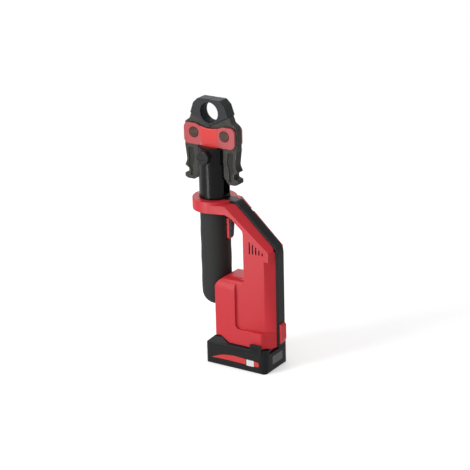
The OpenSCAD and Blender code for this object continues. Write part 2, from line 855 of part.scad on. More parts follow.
module rotor() {
    color(steel) {
        rod_z(shaft_r, motor_z - 1, gear_z + gear_w);
        rod_z(stator_in - 0.5, motor_z + motor_plate + 9, motor_top - motor_plate - 7);
    }
}

// Involute gear outline: teeth between the root and tip radii, thinned by the backlash
pressure = 25;
backlash = 0.06;
flank_steps = 3;
function involute(a) = tan(a) * 180 / PI - a;
function half_tooth(teeth, r, thin) =
    let (pitch_r = gear_module * teeth / 2, base = pitch_r * cos(pressure))
    90 / teeth - thin / pitch_r * 180 / PI + involute(pressure) - (r > base ? involute(acos(base / r)) : 0);
function gear_points(teeth, root, tip, thin) = [for (k = [0:teeth - 1]) each concat(
    [for (i = [0:flank_steps]) let (r = root + (tip - root) * i / flank_steps,
        a = 360 * k / teeth - half_tooth(teeth, r, thin)) r * [cos(a), sin(a)]],
    [for (i = [0:flank_steps]) let (r = tip - (tip - root) * i / flank_steps,
        a = 360 * k / teeth + half_tooth(teeth, r, thin)) r * [cos(a), sin(a)]])];
addendum = 0.85 * gear_module;
dedendum = 1.2 * gear_module;

module gear(teeth, z0, z1) {
    pitch_r = gear_module * teeth / 2;
    slab_z(z0, z1) polygon(gear_points(teeth, pitch_r - dedendum, pitch_r + addendum, backlash));
}

module sun_gear() {
    color(steel) difference() {
        gear(sun_teeth, gear_z, gear_z + gear_w);
        rod_z(shaft_r + run / 2, gear_z - cut, gear_z + gear_w + cut);
    }
}

module ring_gear() {
    pitch_r = gear_module * ring_teeth / 2;
    color(dark_steel) difference() {
        rod_z(core_in - run, motor_top, pump_z);
        rotate([0, 0, 180 / ring_teeth]) slab_z(motor_top - cut, pump_z + cut)
            polygon(gear_points(ring_teeth, pitch_r - addendum, pitch_r + dedendum, -backlash));
    }
}

module planet_gear(i) {
    color(bronze) rotate([0, 0, 120 * i]) translate([gear_reach, 0, 0]) difference() {
        rotate([0, 0, 180 / planet_teeth]) gear(planet_teeth, gear_z, gear_z + gear_w);
        rod_z(planet_pin_r + run, gear_z - cut, gear_z + gear_w + cut);
    }
}
module planet_gear_1() { planet_gear(0); }
module planet_gear_2() { planet_gear(1); }
module planet_gear_3() { planet_gear(2); }

// Carrier with the planet pins below and the pump's eccentric shaft above
module planet_carrier() {
    color(steel) {
        rod_z(gear_reach + planet_pin_r + 1.5, carrier_z, carrier_z + carrier_t);
        for (i = [0:2]) rotate([0, 0, 120 * i]) translate([gear_reach, 0, 0])
            rod_z(planet_pin_r, gear_z - 0.5, carrier_z + cut);
        rod_z(drive_shaft_r, carrier_z, eccentric_z + cut);
        translate([-throw, 0, 0]) rod_z(eccentric_r, eccentric_z, eccentric_z + eccentric_h);
        rod_z(journal_r, eccentric_z, eccentric_z + eccentric_h + journal_h);
    }
}

pump_hollow_r = eccentric_r + throw + 1.3;
module carrier_bearing() {
    color(steel) ring_z(pump_hollow_r - run / 2, drive_shaft_r + run, pump_z, pump_z + 4);
}

// Pump body with the eccentric's hollow, the plunger bore and the spigot that feeds the cylinder
module pump_block() {
    color(dark_steel) difference() {
        union() {
            rod_z(core_in - run, pump_z, pump_top);
            rod_z(bore_r - run, pump_top - cut, spigot_top);
        }
        rod_z(pump_hollow_r, pump_z - cut, eccentric_z + eccentric_h + 0.5);
        rod_z(journal_r + run, eccentric_z, eccentric_z + eccentric_h + journal_h + 0.5);
        translate([0, 0, plunger_z]) rod_x(plunger_r + run, -core_r, 0);
        translate([-plunger_x - 4, 0, 0]) rod_z(1, plunger_z, spigot_top + cut);
    }
}

module pump_plunger() {
    color(steel) translate([0, 0, plunger_z]) rod_x(plunger_r, -plunger_x - plunger_l, -plunger_x);
}

module plunger_spring() {
    color(steel) translate([-core_in + 0.2, 0, plunger_z]) rotate([0, 90, 0])
        coil(plunger_r - 0.7, 0.5, 0, core_in - 0.3 - plunger_x - plunger_l, 2);
}

module swivel_bush() { color(bronze) ring_z(core_in - run / 2, neck_r + run, swivel_top - bush_h, swivel_top); }

// Trigger, its frame in the grip and the switch behind it
module trigger_bezel() {
    color(black) difference() {
        intersection() {
            block([0, -bezel_y, bezel_z0], [grip_r + 2, bezel_y, bezel_z1]);
            rod_z(grip_r + 0.8, bezel_z0, bezel_z1);
        }
        rod_z(core_r + run, bezel_z0 - cut, bezel_z1 + cut);
        block([0, -trigger_y - slip, trigger_z - slip], [grip_r + 4, trigger_y + slip, trigger_z + trigger_h + slip]);
    }
}

module trigger_switch() {
    y = switch_w / 2;
    z = switch_h / 2;
    color(black) difference() {
        block([switch_in, -y, switch_z - z], [switch_out, y, switch_z + z]);
        translate([0, 0, switch_z]) rod_x(stem_r + 0.2, switch_in + 0.8, switch_out + cut);
    }
}

module trigger() {
    color(red) {
        slab_x(trigger_in, trigger_out) round_rect(-trigger_y, trigger_z, trigger_y, trigger_z + trigger_h, 2);
        translate([0, 0, switch_z]) rod_x(stem_r, switch_in + 1 + trigger_travel, trigger_in + cut);
    }
}

module trigger_pad() {
    y = trigger_y - 1.2;
    z0 = trigger_z + 2.4;
    z1 = trigger_z + trigger_h - 1.6;
    color(black) slab_y(-y, y) outline([
        [trigger_out, z0, 0], [pad_out - 2, z0, 2], [pad_out, (z0 + z1) / 2 + 6, 30], [pad_out - 0.6, z1, 2.5],
        [trigger_out, z1, 0]
    ]);
}

// Press head

// Fork, tube and cylinder in one turned and milled piece
module press_cylinder() {
    color(black) difference() {
        union() {
            rod_z(tube_r, tube_z, fork_top - 2);
            translate([0, 0, fork_top - 2]) cylinder(r1 = tube_r, r2 = tube_r - 2, h = 2);
            rod_z(neck_r, cylinder_z, tube_z + cut);
            translate([0, 0, lock_z]) rod_y(boss_r, -boss_out, -tube_r / 2);
        }
        rod_z(bore_r, cylinder_z - cut, gland_z);
        rod_z(gland_r, gland_z - cut, slot_z + cut);
        ring_z(neck_r + cut, neck_r - 1, swivel_top - bush_h - 0.3 - swivel_ring_h, swivel_top - bush_h - 0.3);
        block([-tube_d, -slot_y, slot_z], [tube_d, slot_y, fork_top + cut]);
        block([-tube_d, -plate_slot_y, plate_slot_z], [tube_d, plate_slot_y, fork_top + 10]);
        translate([0, 0, lock_z]) rod_y(lock_r + run, -tube_d, tube_d);
    }
}

module swivel_ring() {
    z1 = swivel_top - bush_h - 0.3;
    color(steel) difference() {
        ring_z(core_in - 0.6, neck_r - 1 + run, z1 - swivel_ring_h + run, z1 - run);
        block([-core_r, -2, 0], [0, 2, z1]);
    }
}

module rod_gland() { color(bronze) ring_z(gland_r - run / 2, rod_r + run, gland_z, slot_z); }

module piston_rod() {
    color(steel) difference() {
        union() {
            rod_z(bore_r - run, piston_top - piston_h, piston_top);
            rod_z(rod_r, piston_top - cut, yoke_z);
        }
        ring_z(bore_r + cut, bore_r - 2, piston_top - piston_h / 2 - 1.2, piston_top - piston_h / 2 + 1.2);
    }
}

module piston_seal() {
    z = piston_top - piston_h / 2;
    color(rubber) ring_z(bore_r - run, bore_r - 2 + run, z - 1.2 + run, z + 1.2 - run);
}

module ram_spring() {
    color(steel) coil((bore_r + rod_r) / 2, 0.95, piston_top + 0.1, gland_z - 0.1, 5);
}

// Yoke on the rod: two cheeks that carry the rollers on pins
module roller_yoke() {
    color(dark_steel) difference() {
        slab_y(-yoke_y, yoke_y) outline([
            [-yoke_x, yoke_z, 3], [yoke_x, yoke_z, 3], [yoke_x, roller_z + 5, 4], [-yoke_x, roller_z + 5, 4]
        ]);
        block([-yoke_x - cut, -roller_y - 0.3, roller_z - roller_r - 0.8], [yoke_x + cut, roller_y + 0.3, fork_top]);
        for (s = [-1, 1]) translate([s * roller_x, 0, roller_z]) rod_y(roller_pin_r + run, -slot_y, slot_y);
    }
}

module roller_pins() {
    color(steel) for (s = [-1, 1]) translate([s * roller_x, 0, roller_z]) rod_y(roller_pin_r, -yoke_y, yoke_y);
}

module roller(side) {
    color(steel) translate([side * roller_x, 0, roller_z]) difference() {
        rod_y(roller_r, -roller_y, roller_y);
        rod_y(roller_pin_r + run, -roller_y - cut, roller_y + cut);
    }
}
module roller_left() { roller(-1); }
module roller_right() { roller(1); }

module locking_pin() {
    color(dark_steel) translate([0, 0, lock_z]) difference() {
        union() {
            rod_y(lock_r, -boss_out - cut, tube_r + 1);
            rod_y(knob_r, -boss_out - 0.2 - knob_l + 1, -boss_out - 0.2);
            translate([0, -boss_out - 0.2 - knob_l + 1, 0]) rotate([90, 0, 0])
                cylinder(r1 = knob_r, r2 = knob_r - 1, h = 1);
        }
        rod_y(knob_r - 4.5, -boss_out - knob_l - cut, -boss_out - knob_l + 1);
    }
}

// Side plate with lobes round the jaw pins and a tongue down to the locking pin
module jaw_plate(side) {
    y0 = side < 0 ? -plate_out : plate_in;
    y1 = side < 0 ? -plate_in : plate_out;
    dip_r = 60;
    color(red) difference() {
        slab_y(y0, y1) union() {
            difference() {
                round_rect(-plate_x, plate_z0, plate_x, plate_z1, plate_corner);
                translate([0, plate_z1 - plate_dip + dip_r]) circle(r = dip_r, $fn = 180);
            }
            translate([-tongue_r, lock_z]) square([2 * tongue_r, plate_z0 - lock_z + cut]);
            translate([0, lock_z]) circle(r = tongue_r);
        }
        translate([0, 0, lock_z]) rod_y(lock_r + run, -tube_d, tube_d);
        for (s = [-1, 1]) translate([s * pin_x, 0, pin_z]) {
            rod_y(pin_r + run, -tube_d, tube_d);
            rod_y(pin_head_r + 0.6, side < 0 ? -tube_d : plate_out - 2, side < 0 ? -plate_out + 2 : tube_d);
        }
    }
}
module jaw_plate_front() { jaw_plate(-1); }
module jaw_plate_rear() { jaw_plate(1); }

module jaw_pins() {
    color(dark_steel) for (s = [-1, 1]) translate([s * pin_x, 0, pin_z]) {
        rod_y(pin_r, -plate_out + 1, plate_out - 1);
        for (m = [0, 1]) mirror([0, m, 0]) rod_y(pin_head_r, plate_out - 2, plate_out - 2 + pin_head_t);
    }
}

// Outline of the right jaw, closed: head, shoulder, arm with its two hooks, and the inner edge
module jaw_outline() {
    outline([
        [jaw_gap, pin_z + 3.5, 0], [jaw_gap, jaw_top, 0.6], [22, jaw_top, 5], [31, jaw_top - 8.5, 6],
        [41, pin_z + 22, 8], [jaw_x - 1.5, pin_z + 16, 4], [jaw_x, pin_z + 5, 4], [jaw_x, pin_z - 20, 30],
        [jaw_x - 4, jaw_foot + 33, 14], [jaw_x + 0.8, jaw_foot + 23, 1.8], [44.5, jaw_foot + 18.5, 2.2],
        [44.5, jaw_foot + 12, 2.2], [jaw_x + 1, jaw_foot + 9.5, 2.2], [jaw_x + 1, jaw_foot + 2.5, 2.4],
        [46, jaw_foot, 3], [26, jaw_foot, 2], [13, roller_z - 6, 2], [13, pin_z - 36, 4],
        [9, pin_z - 14, 4], [jaw_gap + 4, pin_z - 4, 2]
    ]);
}

// Path of a round thing of radius r, seen from the right jaw as it opens
module jaw_path(x, z, r, travel) {
    for (i = [0:cam_steps]) translate([pin_x, pin_z]) rotate(jaw_open * i / cam_steps)
        translate([x - pin_x, z - travel * i / cam_steps - pin_z]) circle(r = r);
}

// Press contour: three ribs between wider grooves, bored through both jaws
module press_contour() {
    rib = rib_w / 2;
    profile = [
        [0, -head_y - cut], [press_rim + cut, -head_y - cut], [press_rim, -head_y], [press_groove, -head_y + 1.5],
        for (i = [-1, 0, 1]) each [
            [press_groove, i * rib_pitch - rib - 0.6], [press_r, i * rib_pitch - rib],
            [press_r, i * rib_pitch + rib], [press_groove, i * rib_pitch + rib + 0.6]
        ],
        [press_groove, head_y - 1.5], [press_rim, head_y], [press_rim + cut, head_y + cut], [0, head_y + cut]
    ];
    translate([0, 0, press_z]) rotate([-90, 0, 0]) rotate_extrude() polygon(profile);
}

module jaw() {
    thick_x = tube_r - 1;
    difference() {
        union() {
            slab_y(-web_y, web_y) jaw_profile();
            slab_y(-head_y, head_y) intersection() {
                jaw_profile();
                polygon([[0, vee_z], [60, vee_z + 60 * vee_rise], [60, jaw_top + cut], [0, jaw_top + cut]]);
            }
            slab_y(-arm_y, arm_y) intersection() {
                jaw_profile();
                translate([thick_x, 0]) square([jaw_x, plate_z0 - 1.5]);
            }
        }
        press_contour();
        translate([pin_x, 0, pin_z]) rod_y(pin_r + run, -tube_d, tube_d);
        for (m = [0, 1]) mirror([0, m, 0]) slab_y(arm_y - 1.2, arm_y + cut) outline([
            [34, pin_z - 28, 3], [45, pin_z - 28, 3], [43, jaw_foot + 34, 6], [45.5, jaw_foot + 24, 2],
            [39.5, jaw_foot + 16, 3], [42, jaw_foot + 5, 2.5], [35, jaw_foot + 6, 3], [36.5, jaw_foot + 22, 6],
            [32.5, jaw_foot + 36, 6]
        ]);
    }
}

// Jaw outline less the rollers' path and the locking pin's
module jaw_profile() {
    difference() {
        jaw_outline();
        jaw_path(roller_x, roller_z, roller_r + cam_gap, stroke);
        jaw_path(0, lock_z, lock_r + cam_gap, 0);
    }
}

module jaw_right() { color(dark_steel) jaw(); }
module jaw_left() { color(dark_steel) mirror([1, 0, 0]) jaw(); }

// Battery

// Plan outline of the pack, moved inwards by inset
module battery_plan(inset) {
    y = battery_y - inset;
    front = battery_corner_front - inset;
    rear = battery_corner_rear - inset;
    outline([
        [battery_x0 + inset, -y, front], [battery_x1 - inset, -y, rear],
        [battery_x1 - inset, y, rear], [battery_x0 + inset, y, front]
    ]);
}

module battery_tray() {
    color(black) difference() {
        intersection() {
            slab_z(0, battery_split) battery_plan(0);
            slab_y(-battery_y, battery_y) outline([
                [battery_x0, 0, battery_edge], [battery_x1, 0, battery_edge],
                [battery_x1, battery_split, 0], [battery_x0, battery_split, 0]
            ]);
            slab_x(battery_x0, battery_x1) outline([
                [-battery_y, 0, battery_edge], [battery_y, 0, battery_edge],
                [battery_y, battery_split, 0], [-battery_y, battery_split, 0]
            ]);
        }
        slab_z(battery_wall, battery_split + cut) battery_plan(battery_wall);
    }
    color(black) for (p = battery_screw_spots) translate([p.x, p.y, 0]) difference() {
        rod_z(battery_post_r, battery_wall / 2, lid_floor - 0.1);
        rod_z(screw_r + run, battery_wall, lid_floor);
    }
}

lid_floor = battery_split - 3;
battery_post_r = 3.4;
battery_screw_x0 = battery_x0 + 6.5;
battery_screw_x1 = battery_x1 - 7;
battery_screw_y = rail_flange_w / 2 + slip + screw_head_r + 1;
battery_screw_spots = [for (x = [battery_screw_x0, battery_screw_x1]) for (s = [-1, 1]) [x, s * battery_screw_y]];

// Upper shell with the hump, the slot for the rail, the terminal pocket and the latch pockets
module battery_lid() {
    slot_floor = base_z - rail_drop - slip;
    neck = rail_neck_w / 2 + slip;
    flange = rail_flange_w / 2 + slip;
    color(black) difference() {
        union() {
            intersection() {
                slab_z(battery_split, hump_top) battery_plan(0);
                slab_y(-battery_y, battery_y) outline([
                    [battery_x0, battery_split, 0], [battery_x1, battery_split, 0], [battery_x1, battery_h, 3],
                    [hump_x2, battery_h, 3], [hump_x1, hump_top, 4], [hump_x0, hump_top, 6],
                    [battery_x0, battery_split + 3, 6]
                ]);
                slab_x(battery_x0, battery_x1) outline([
                    [-battery_y, battery_split, 0], [battery_y, battery_split, 0],
                    [battery_y, battery_h - 4, 3], [battery_y - 5, hump_top, 3],
                    [-battery_y + 5, hump_top, 3], [-battery_y, battery_h - 4, 3]
                ]);
            }
            slab_z(lid_floor, battery_split + cut) battery_plan(battery_wall + seat);
        }
        block([terminal_x0 - 0.4, -neck, slot_floor], [battery_x1 + cut, neck, hump_top + cut]);
        block([terminal_x0 - 0.4, -flange, slot_floor],
              [battery_x1 + cut, flange, base_z - rail_drop + rail_flange_t + slip]);
        block([terminal_x0 - 13, -terminal_y, slot_floor], [terminal_x0, terminal_y, battery_h - 1]);
        for (s = [-1, 1]) scale([1, s, 1])
            block([latch_x0 - slip, latch_y - latch_t - latch_travel - slip, latch_z0 - slip],
                  [latch_x0 + latch_l + slip, latch_y + cut, hump_top]);
        for (p = battery_screw_spots) translate([p.x, p.y, 0]) {
            rod_z(screw_r + run, lid_floor - cut, hump_top);
            rod_z(screw_head_r + 0.3, screw_rest(p.x), hump_top + cut);
        }
    }
}

// Height of a screw's seat in the lid, below the deck or the hump
function screw_rest(x) = x < hump_x1 ? battery_split + 4 : battery_h - 5;

module battery_screws() {
    color(dark_steel) for (p = battery_screw_spots) translate([p.x, p.y, 0]) {
        rod_z(screw_r, lid_floor - 12, screw_rest(p.x) + cut);
        difference() {
            rod_z(screw_head_r, screw_rest(p.x), screw_rest(p.x) + screw_head_t);
            translate([0, 0, screw_rest(p.x) + 1]) cylinder(r = 1.5, h = 3, $fn = 6);
        }
    }
}

cell_r = cell_d / 2;
cell_z = battery_wall + cell_r + 0.4;
cell_span = battery_screw_x1 - battery_screw_x0 - 2 * battery_post_r;
cell_count = floor((cell_span - cell_d) / cell_pitch) + 1;
cell_last = cell_count - 1;
function cell_x(i) = (battery_x0 + battery_x1) / 2 + (i - cell_last / 2) * cell_pitch;

module battery_cells() {
    color([0.15, 0.35, 0.60]) for (i = [0:cell_last]) translate([cell_x(i), 0, cell_z]) {
        rod_y(cell_r, -cell_l / 2, cell_l / 2 - 1.5);
        rod_y(3, cell_l / 2 - 2, cell_l / 2);
    }
}

// Two combs that hold the cells and carry the battery's board
comb_top = lid_floor - 3;
module cell_holders() {
    color([0.25, 0.25, 0.25]) for (s = [-1, 1]) difference() {
        slab_y(s * 20 - 3, s * 20 + 3)
            round_rect(cell_x(0) - cell_r - 1, battery_wall, cell_x(cell_last) + cell_r + 1, comb_top, 2);
        for (i = [0:cell_last]) translate([cell_x(i), 0, cell_z]) rod_y(cell_r + run, -cell_l, cell_l);
    }
}

module battery_board() {
    color(board_green) block([cell_x(0), -24, comb_top], [cell_x(cell_last), 24, comb_top + board_t]);
}

// Spring sockets in the terminal pocket, one for each blade, open towards the rail
module battery_terminals() {
    slot_floor = base_z - rail_drop - slip;
    color(copper) for (i = [0:blade_count - 1]) difference() {
        block([terminal_x0 - 12, blade_y(i) - 2.2, slot_floor],
              [terminal_x0 - 1, blade_y(i) + 2.2, battery_h - 1.2]);
        block([terminal_x0 - blade_reach - 1, blade_y(i) - blade_t / 2 - slip, slot_floor + 1],
              [terminal_x0, blade_y(i) + blade_t / 2 + slip, battery_h]);
    }
}

// Latch tab: a press plate on the shoulder of the pack, with finger ribs
module latch(side) {
    y = latch_y - latch_t;
    color(black) scale([1, side, 1]) difference() {
        slab_y(y, latch_y) round_rect(latch_x0, latch_z0, latch_x0 + latch_l, latch_z1, 1.2);
        for (i = [0:3]) slab_y(latch_y - 0.6, latch_y + cut) round_rect(
            latch_x0 + 3.5, latch_z0 + 3.5 + 2.7 * i, latch_x0 + latch_l - 3.5, latch_z0 + 4.7 + 2.7 * i, 0.5);
    }
}
module latch_left() { latch(-1); }
module latch_right() { latch(1); }

housing_left();
housing_right();
spine_cover();
housing_screws();
grip_sleeve();
core_tube();
core_end_cap();
motor_can();
stator();
motor_bearings();
ring_gear();
pump_block();
pump_plunger();
plunger_spring();
carrier_bearing();
swivel_bush();
trigger_bezel();
trigger_switch();
control_board();
board_parts();
board_screws();
return_switch();
terminal_block();
terminal_blades();
motor_leads();
trigger();
trigger_pad();
return_button();
rotor();
sun_gear();
planet_carrier();
planet_gear_1();
planet_gear_2();
planet_gear_3();
press_cylinder();
rod_gland();
swivel_ring();
jaw_plate_front();
jaw_plate_rear();
jaw_pins();
ram_spring();
piston_rod();
piston_seal();
roller_yoke();
roller_pins();
roller_left();
roller_right();
locking_pin();
jaw_left();
jaw_right();
battery_tray();
battery_lid();
battery_cells();
cell_holders();
battery_board();
battery_terminals();
battery_screws();
latch_left();
latch_right();
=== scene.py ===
import math
from itertools import combinations

import bmesh
import bpy
from mathutils import Matrix, Vector
from mathutils.bvhtree import BVHTree


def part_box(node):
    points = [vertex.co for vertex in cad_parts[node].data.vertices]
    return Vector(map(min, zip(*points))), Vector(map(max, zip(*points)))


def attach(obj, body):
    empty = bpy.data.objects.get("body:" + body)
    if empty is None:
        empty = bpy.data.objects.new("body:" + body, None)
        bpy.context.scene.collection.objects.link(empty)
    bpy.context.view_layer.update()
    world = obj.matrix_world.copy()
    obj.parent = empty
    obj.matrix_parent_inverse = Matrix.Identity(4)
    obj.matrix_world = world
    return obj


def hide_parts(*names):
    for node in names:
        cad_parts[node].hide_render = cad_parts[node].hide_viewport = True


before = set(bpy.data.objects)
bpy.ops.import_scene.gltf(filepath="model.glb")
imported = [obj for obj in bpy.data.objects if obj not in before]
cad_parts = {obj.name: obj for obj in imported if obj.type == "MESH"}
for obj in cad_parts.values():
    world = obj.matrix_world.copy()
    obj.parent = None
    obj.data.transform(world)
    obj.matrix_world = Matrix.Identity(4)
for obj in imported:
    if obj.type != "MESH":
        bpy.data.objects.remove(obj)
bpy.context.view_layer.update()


# Studio: a plain pale floor, a large soft lamp on the left, weaker ones overhead, behind and on the right,
# and a low strip that shows only as a reflection.
# The camera is the long lens that fits the photograph, 33 degrees round and 20 degrees up.
def area_lamp(name, place, target, width, height, watts, lights=True):
    """An area lamp; one that doesn't light is only seen as a reflection."""
    lamp = bpy.data.lights.new(name, "AREA")
    lamp.shape = "RECTANGLE"
    lamp.size = width
    lamp.size_y = height
    lamp.energy = watts
    holder = bpy.data.objects.new(name, lamp)
    holder.visible_diffuse = lights
    holder.location = place
    holder.rotation_euler = (Vector(target) - Vector(place)).to_track_quat("-Z", "Y").to_euler()
    bpy.context.scene.collection.objects.link(holder)


def make_camera():
    azimuth = math.radians(33.0)
    elevation = math.radians(20.1)
    roll = math.radians(1.48)
    focal_px = 1820.0
    frame_px = 470.0
    px_per_mm = 0.59
    axis_px = (216.0, 235.0)
    axis_z = 0.2207
    back = Vector((math.sin(azimuth) * math.cos(elevation), -math.cos(azimuth) * math.cos(elevation),
                   math.sin(elevation)))
    right = Vector((math.cos(azimuth), math.sin(azimuth), 0.0))
    up = back.cross(right)
    right_rolled = right * math.cos(roll) - up * math.sin(roll)
    up_rolled = right * math.sin(roll) + up * math.cos(roll)
    distance = focal_px / px_per_mm / 1000.0
    across = (axis_px[0] - frame_px / 2) / focal_px * distance
    rise = (frame_px / 2 - axis_px[1]) / focal_px * distance
    place = Vector((0.0, 0.0, axis_z)) - right_rolled * across - up_rolled * rise + back * distance
    lens = bpy.data.cameras.new("camera")
    lens.sensor_width = 36.0
    lens.lens = lens.sensor_width * focal_px / frame_px
    lens.clip_end = 50.0
    camera = bpy.data.objects.new("camera", lens)
    turn = Matrix((right_rolled, up_rolled, back)).transposed().to_4x4()
    camera.matrix_world = Matrix.Translation(place) @ turn
    bpy.context.scene.collection.objects.link(camera)
    bpy.context.scene.camera = camera


def feed(tree, entry, value):
    """Gives an input a value: another node's output, or a plain one."""
    if isinstance(value, bpy.types.NodeSocket):
        tree.links.new(value, entry)
    else:
        entry.default_value = value


def math_node(tree, operation, first, second=0.0):
    node = tree.nodes.new("ShaderNodeMath")
    node.operation = operation
    feed(tree, node.inputs[0], first)
    feed(tree, node.inputs[1], second)
    return node.outputs[0]


def range_node(tree, value, start=(0.0, 1.0), end=(0.0, 1.0), blend="LINEAR"):
    """Brings a value from the range it starts in to the range it ends in."""
    node = tree.nodes.new("ShaderNodeMapRange")
    node.interpolation_type = blend
    node.inputs["From Min"].default_value = start[0]
    node.inputs["From Max"].default_value = start[1]
    node.inputs["To Min"].default_value = end[0]
    node.inputs["To Max"].default_value = end[1]
    tree.links.new(value, node.inputs["Value"])
    return node.outputs["Result"]


def seen_rays(tree):
    """A value of 1 for rays that are seen: by the camera, in a mirror or through glass."""
    path = tree.nodes.new("ShaderNodeLightPath")
    mirrored = math_node(tree, "MAXIMUM", path.outputs["Is Glossy Ray"], path.outputs["Is Transmission Ray"])
    return math_node(tree, "MAXIMUM", path.outputs["Is Camera Ray"], mirrored)


def make_world():
    unseen = 0.3
    seen = 1.0
    world = bpy.data.worlds.new("studio")
    bpy.context.scene.world = world
    world.use_nodes = True
    tree = world.node_tree
    sky = tree.nodes["Background"]
    sky.inputs["Color"].default_value = (1.0, 1.0, 1.0, 1.0)
    feed(tree, sky.inputs["Strength"], range_node(tree, seen_rays(tree), end=(unseen, seen)))


def make_floor():
    half = 1.0
    glow = 0.42
    corners = [(-half, -half, 0), (half, -half, 0), (half, half, 0), (-half, half, 0)]
    mesh = bpy.data.meshes.new("floor")
    mesh.from_pydata(corners, [], [(0, 1, 2, 3)])
    floor = bpy.data.objects.new("floor", mesh)
    bpy.context.scene.collection.objects.link(floor)
    paper = bpy.data.materials.new("white paper")
    paper.use_nodes = True
    tree = paper.node_tree
    shader = tree.nodes["Principled BSDF"]
    shader.inputs["Base Color"].default_value = (0.86, 0.86, 0.86, 1.0)
    shader.inputs["Roughness"].default_value = 0.9
    shader.inputs["Emission Color"].default_value = (1.0, 1.0, 1.0, 1.0)
    feed(tree, shader.inputs["Emission Strength"], math_node(tree, "MULTIPLY", seen_rays(tree), glow))
    mesh.materials.append(paper)


bpy.context.scene.view_settings.view_transform = "Standard"
make_camera()
make_world()
make_floor()
area_lamp("key lamp", place=(-1.1, -1.9, 1.3), target=(0.03, 0.0, 0.24), width=0.9, height=1.6, watts=40.0)
area_lamp("overhead lamp", place=(0.1, 0.1, 2.2), target=(0.03, 0.0, 0.2), width=1.6, height=1.6, watts=11.0)
area_lamp("back lamp", place=(-1.0, 1.6, 0.9), target=(0.03, 0.0, 0.2), width=1.2, height=0.7, watts=5.0)
area_lamp("fill lamp", place=(1.5, -1.7, 0.9), target=(0.03, 0.0, 0.25), width=0.9, height=1.2, watts=7.0)
area_lamp("strip lamp", place=(-0.39, -1.45, -0.2), target=(0.0, 0.0, 0.2), width=0.2, height=0.9, watts=44.0,
          lights=False)


# Housing: two moulded shells in red plastic, screwed together on the middle plane.
# Outer edges are moulded round, the seam is a fine line, and the skin has a spark-eroded grain.
def link_piece(name, mesh, body):
    piece = bpy.data.objects.new(name, mesh)
    bpy.context.scene.collection.objects.link(piece)
    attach(piece, body)
    return piece


def merged_copy(node):
    """A node's mesh as one closed skin, with flat faces joined."""
    weld = 2e-6
    flat = math.radians(0.6)
    bm = bmesh.new()
    bm.from_mesh(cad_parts[node].data)
    bmesh.ops.remove_doubles(bm, verts=bm.verts, dist=weld)
    bmesh.ops.dissolve_limit(bm, angle_limit=flat, verts=bm.verts, edges=bm.edges)
    return bm


def sharp_edges(bm, keep):
    sharp = math.radians(25.0)
    chosen = []
    for edge in bm.edges:
        if len(edge.link_faces) != 2:
            continue
        if edge.calc_face_angle(0.0) > sharp and keep(edge):
            chosen.append(edge)
    return chosen


def eased_layer(bm):
    """The layer that marks the faces of rounded edges."""
    return bm.faces.layers.int.get("eased") or bm.faces.layers.int.new("eased")


def ease_edges(bm, edges, width, segments, clamp=True):
    """Rounds the given edges, and marks the new faces as worn."""
    worn = eased_layer(bm)
    made = bmesh.ops.bevel(bm, geom=edges, offset=width, offset_type="OFFSET", segments=segments, profile=0.5,
                           affect="EDGES", clamp_overlap=clamp, loop_slide=True, material=-1)
    for face in made["faces"]:
        face[worn] = 1


def finished_mesh(bm, name):
    """Turns an eased skin into a smooth mesh that carries where its edges are."""
    crease = math.radians(38.0)
    worn = eased_layer(bm)
    wear = bm.loops.layers.float.new("edge_wear")
    for face in bm.faces:
        for loop in face.loops:
            loop[wear] = float(face[worn])
    bm.faces.layers.int.remove(worn)
    mesh = bpy.data.meshes.new(name)
    bm.to_mesh(mesh)
    bm.free()
    for polygon in mesh.polygons:
        polygon.use_smooth = True
    mesh.set_sharp_from_angle(angle=crease)
    return mesh


def settle(piece):
    """Turns a piece's modifiers into plain mesh."""
    graph = bpy.context.evaluated_depsgraph_get()
    mesh = bpy.data.meshes.new_from_object(piece.evaluated_get(graph))
    piece.modifiers.clear()
    piece.data = mesh


def dress(node, body, material, bm):
    """Puts an eased skin in a node's place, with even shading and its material."""
    piece = link_piece(node + "_skin", finished_mesh(bm, node + "_skin"), body)
    piece.data.materials.append(material)
    even = piece.modifiers.new("even shading", "WEIGHTED_NORMAL")
    even.keep_sharp = True
    settle(piece)
    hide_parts(node)


def every_edge(edge):
    return True


def eased_piece(node, body, material, width, segments=2):
    """A piece with all its sharp edges rounded, as far as the tightest spot allows."""
    bm = merged_copy(node)
    ease_edges(bm, sharp_edges(bm, every_edge), width, segments)
    dress(node, body, material, bm)


def grain_group():
    """Moulded grain: a fine pebbled height and a slow drift of shade, on object coordinates."""
    group = bpy.data.node_groups.new("moulded grain", "ShaderNodeTree")
    for name, value in (("Grain Size", 0.0006), ("Drift Size", 0.03)):
        socket = group.interface.new_socket(name, in_out="INPUT", socket_type="NodeSocketFloat")
        socket.default_value = value
    for name in ("Height", "Drift"):
        group.interface.new_socket(name, in_out="OUTPUT", socket_type="NodeSocketFloat")
    entry = group.nodes.new("NodeGroupInput")
    leave = group.nodes.new("NodeGroupOutput")
    where = group.nodes.new("ShaderNodeTexCoord")
    fine = group.nodes.new("ShaderNodeTexVoronoi")
    fine.feature = "SMOOTH_F1"
    slow = group.nodes.new("ShaderNodeTexNoise")
    slow.inputs["Detail"].default_value = 4.0
    slow.inputs["Roughness"].default_value = 0.6
    for texture, size in ((fine, "Grain Size"), (slow, "Drift Size")):
        feed(group, texture.inputs["Vector"], where.outputs["Object"])
        feed(group, texture.inputs["Scale"], math_node(group, "DIVIDE", 1.0, entry.outputs[size]))
    feed(group, leave.inputs["Height"], fine.outputs["Distance"])
    feed(group, leave.inputs["Drift"], slow.outputs["Fac"])
    return group


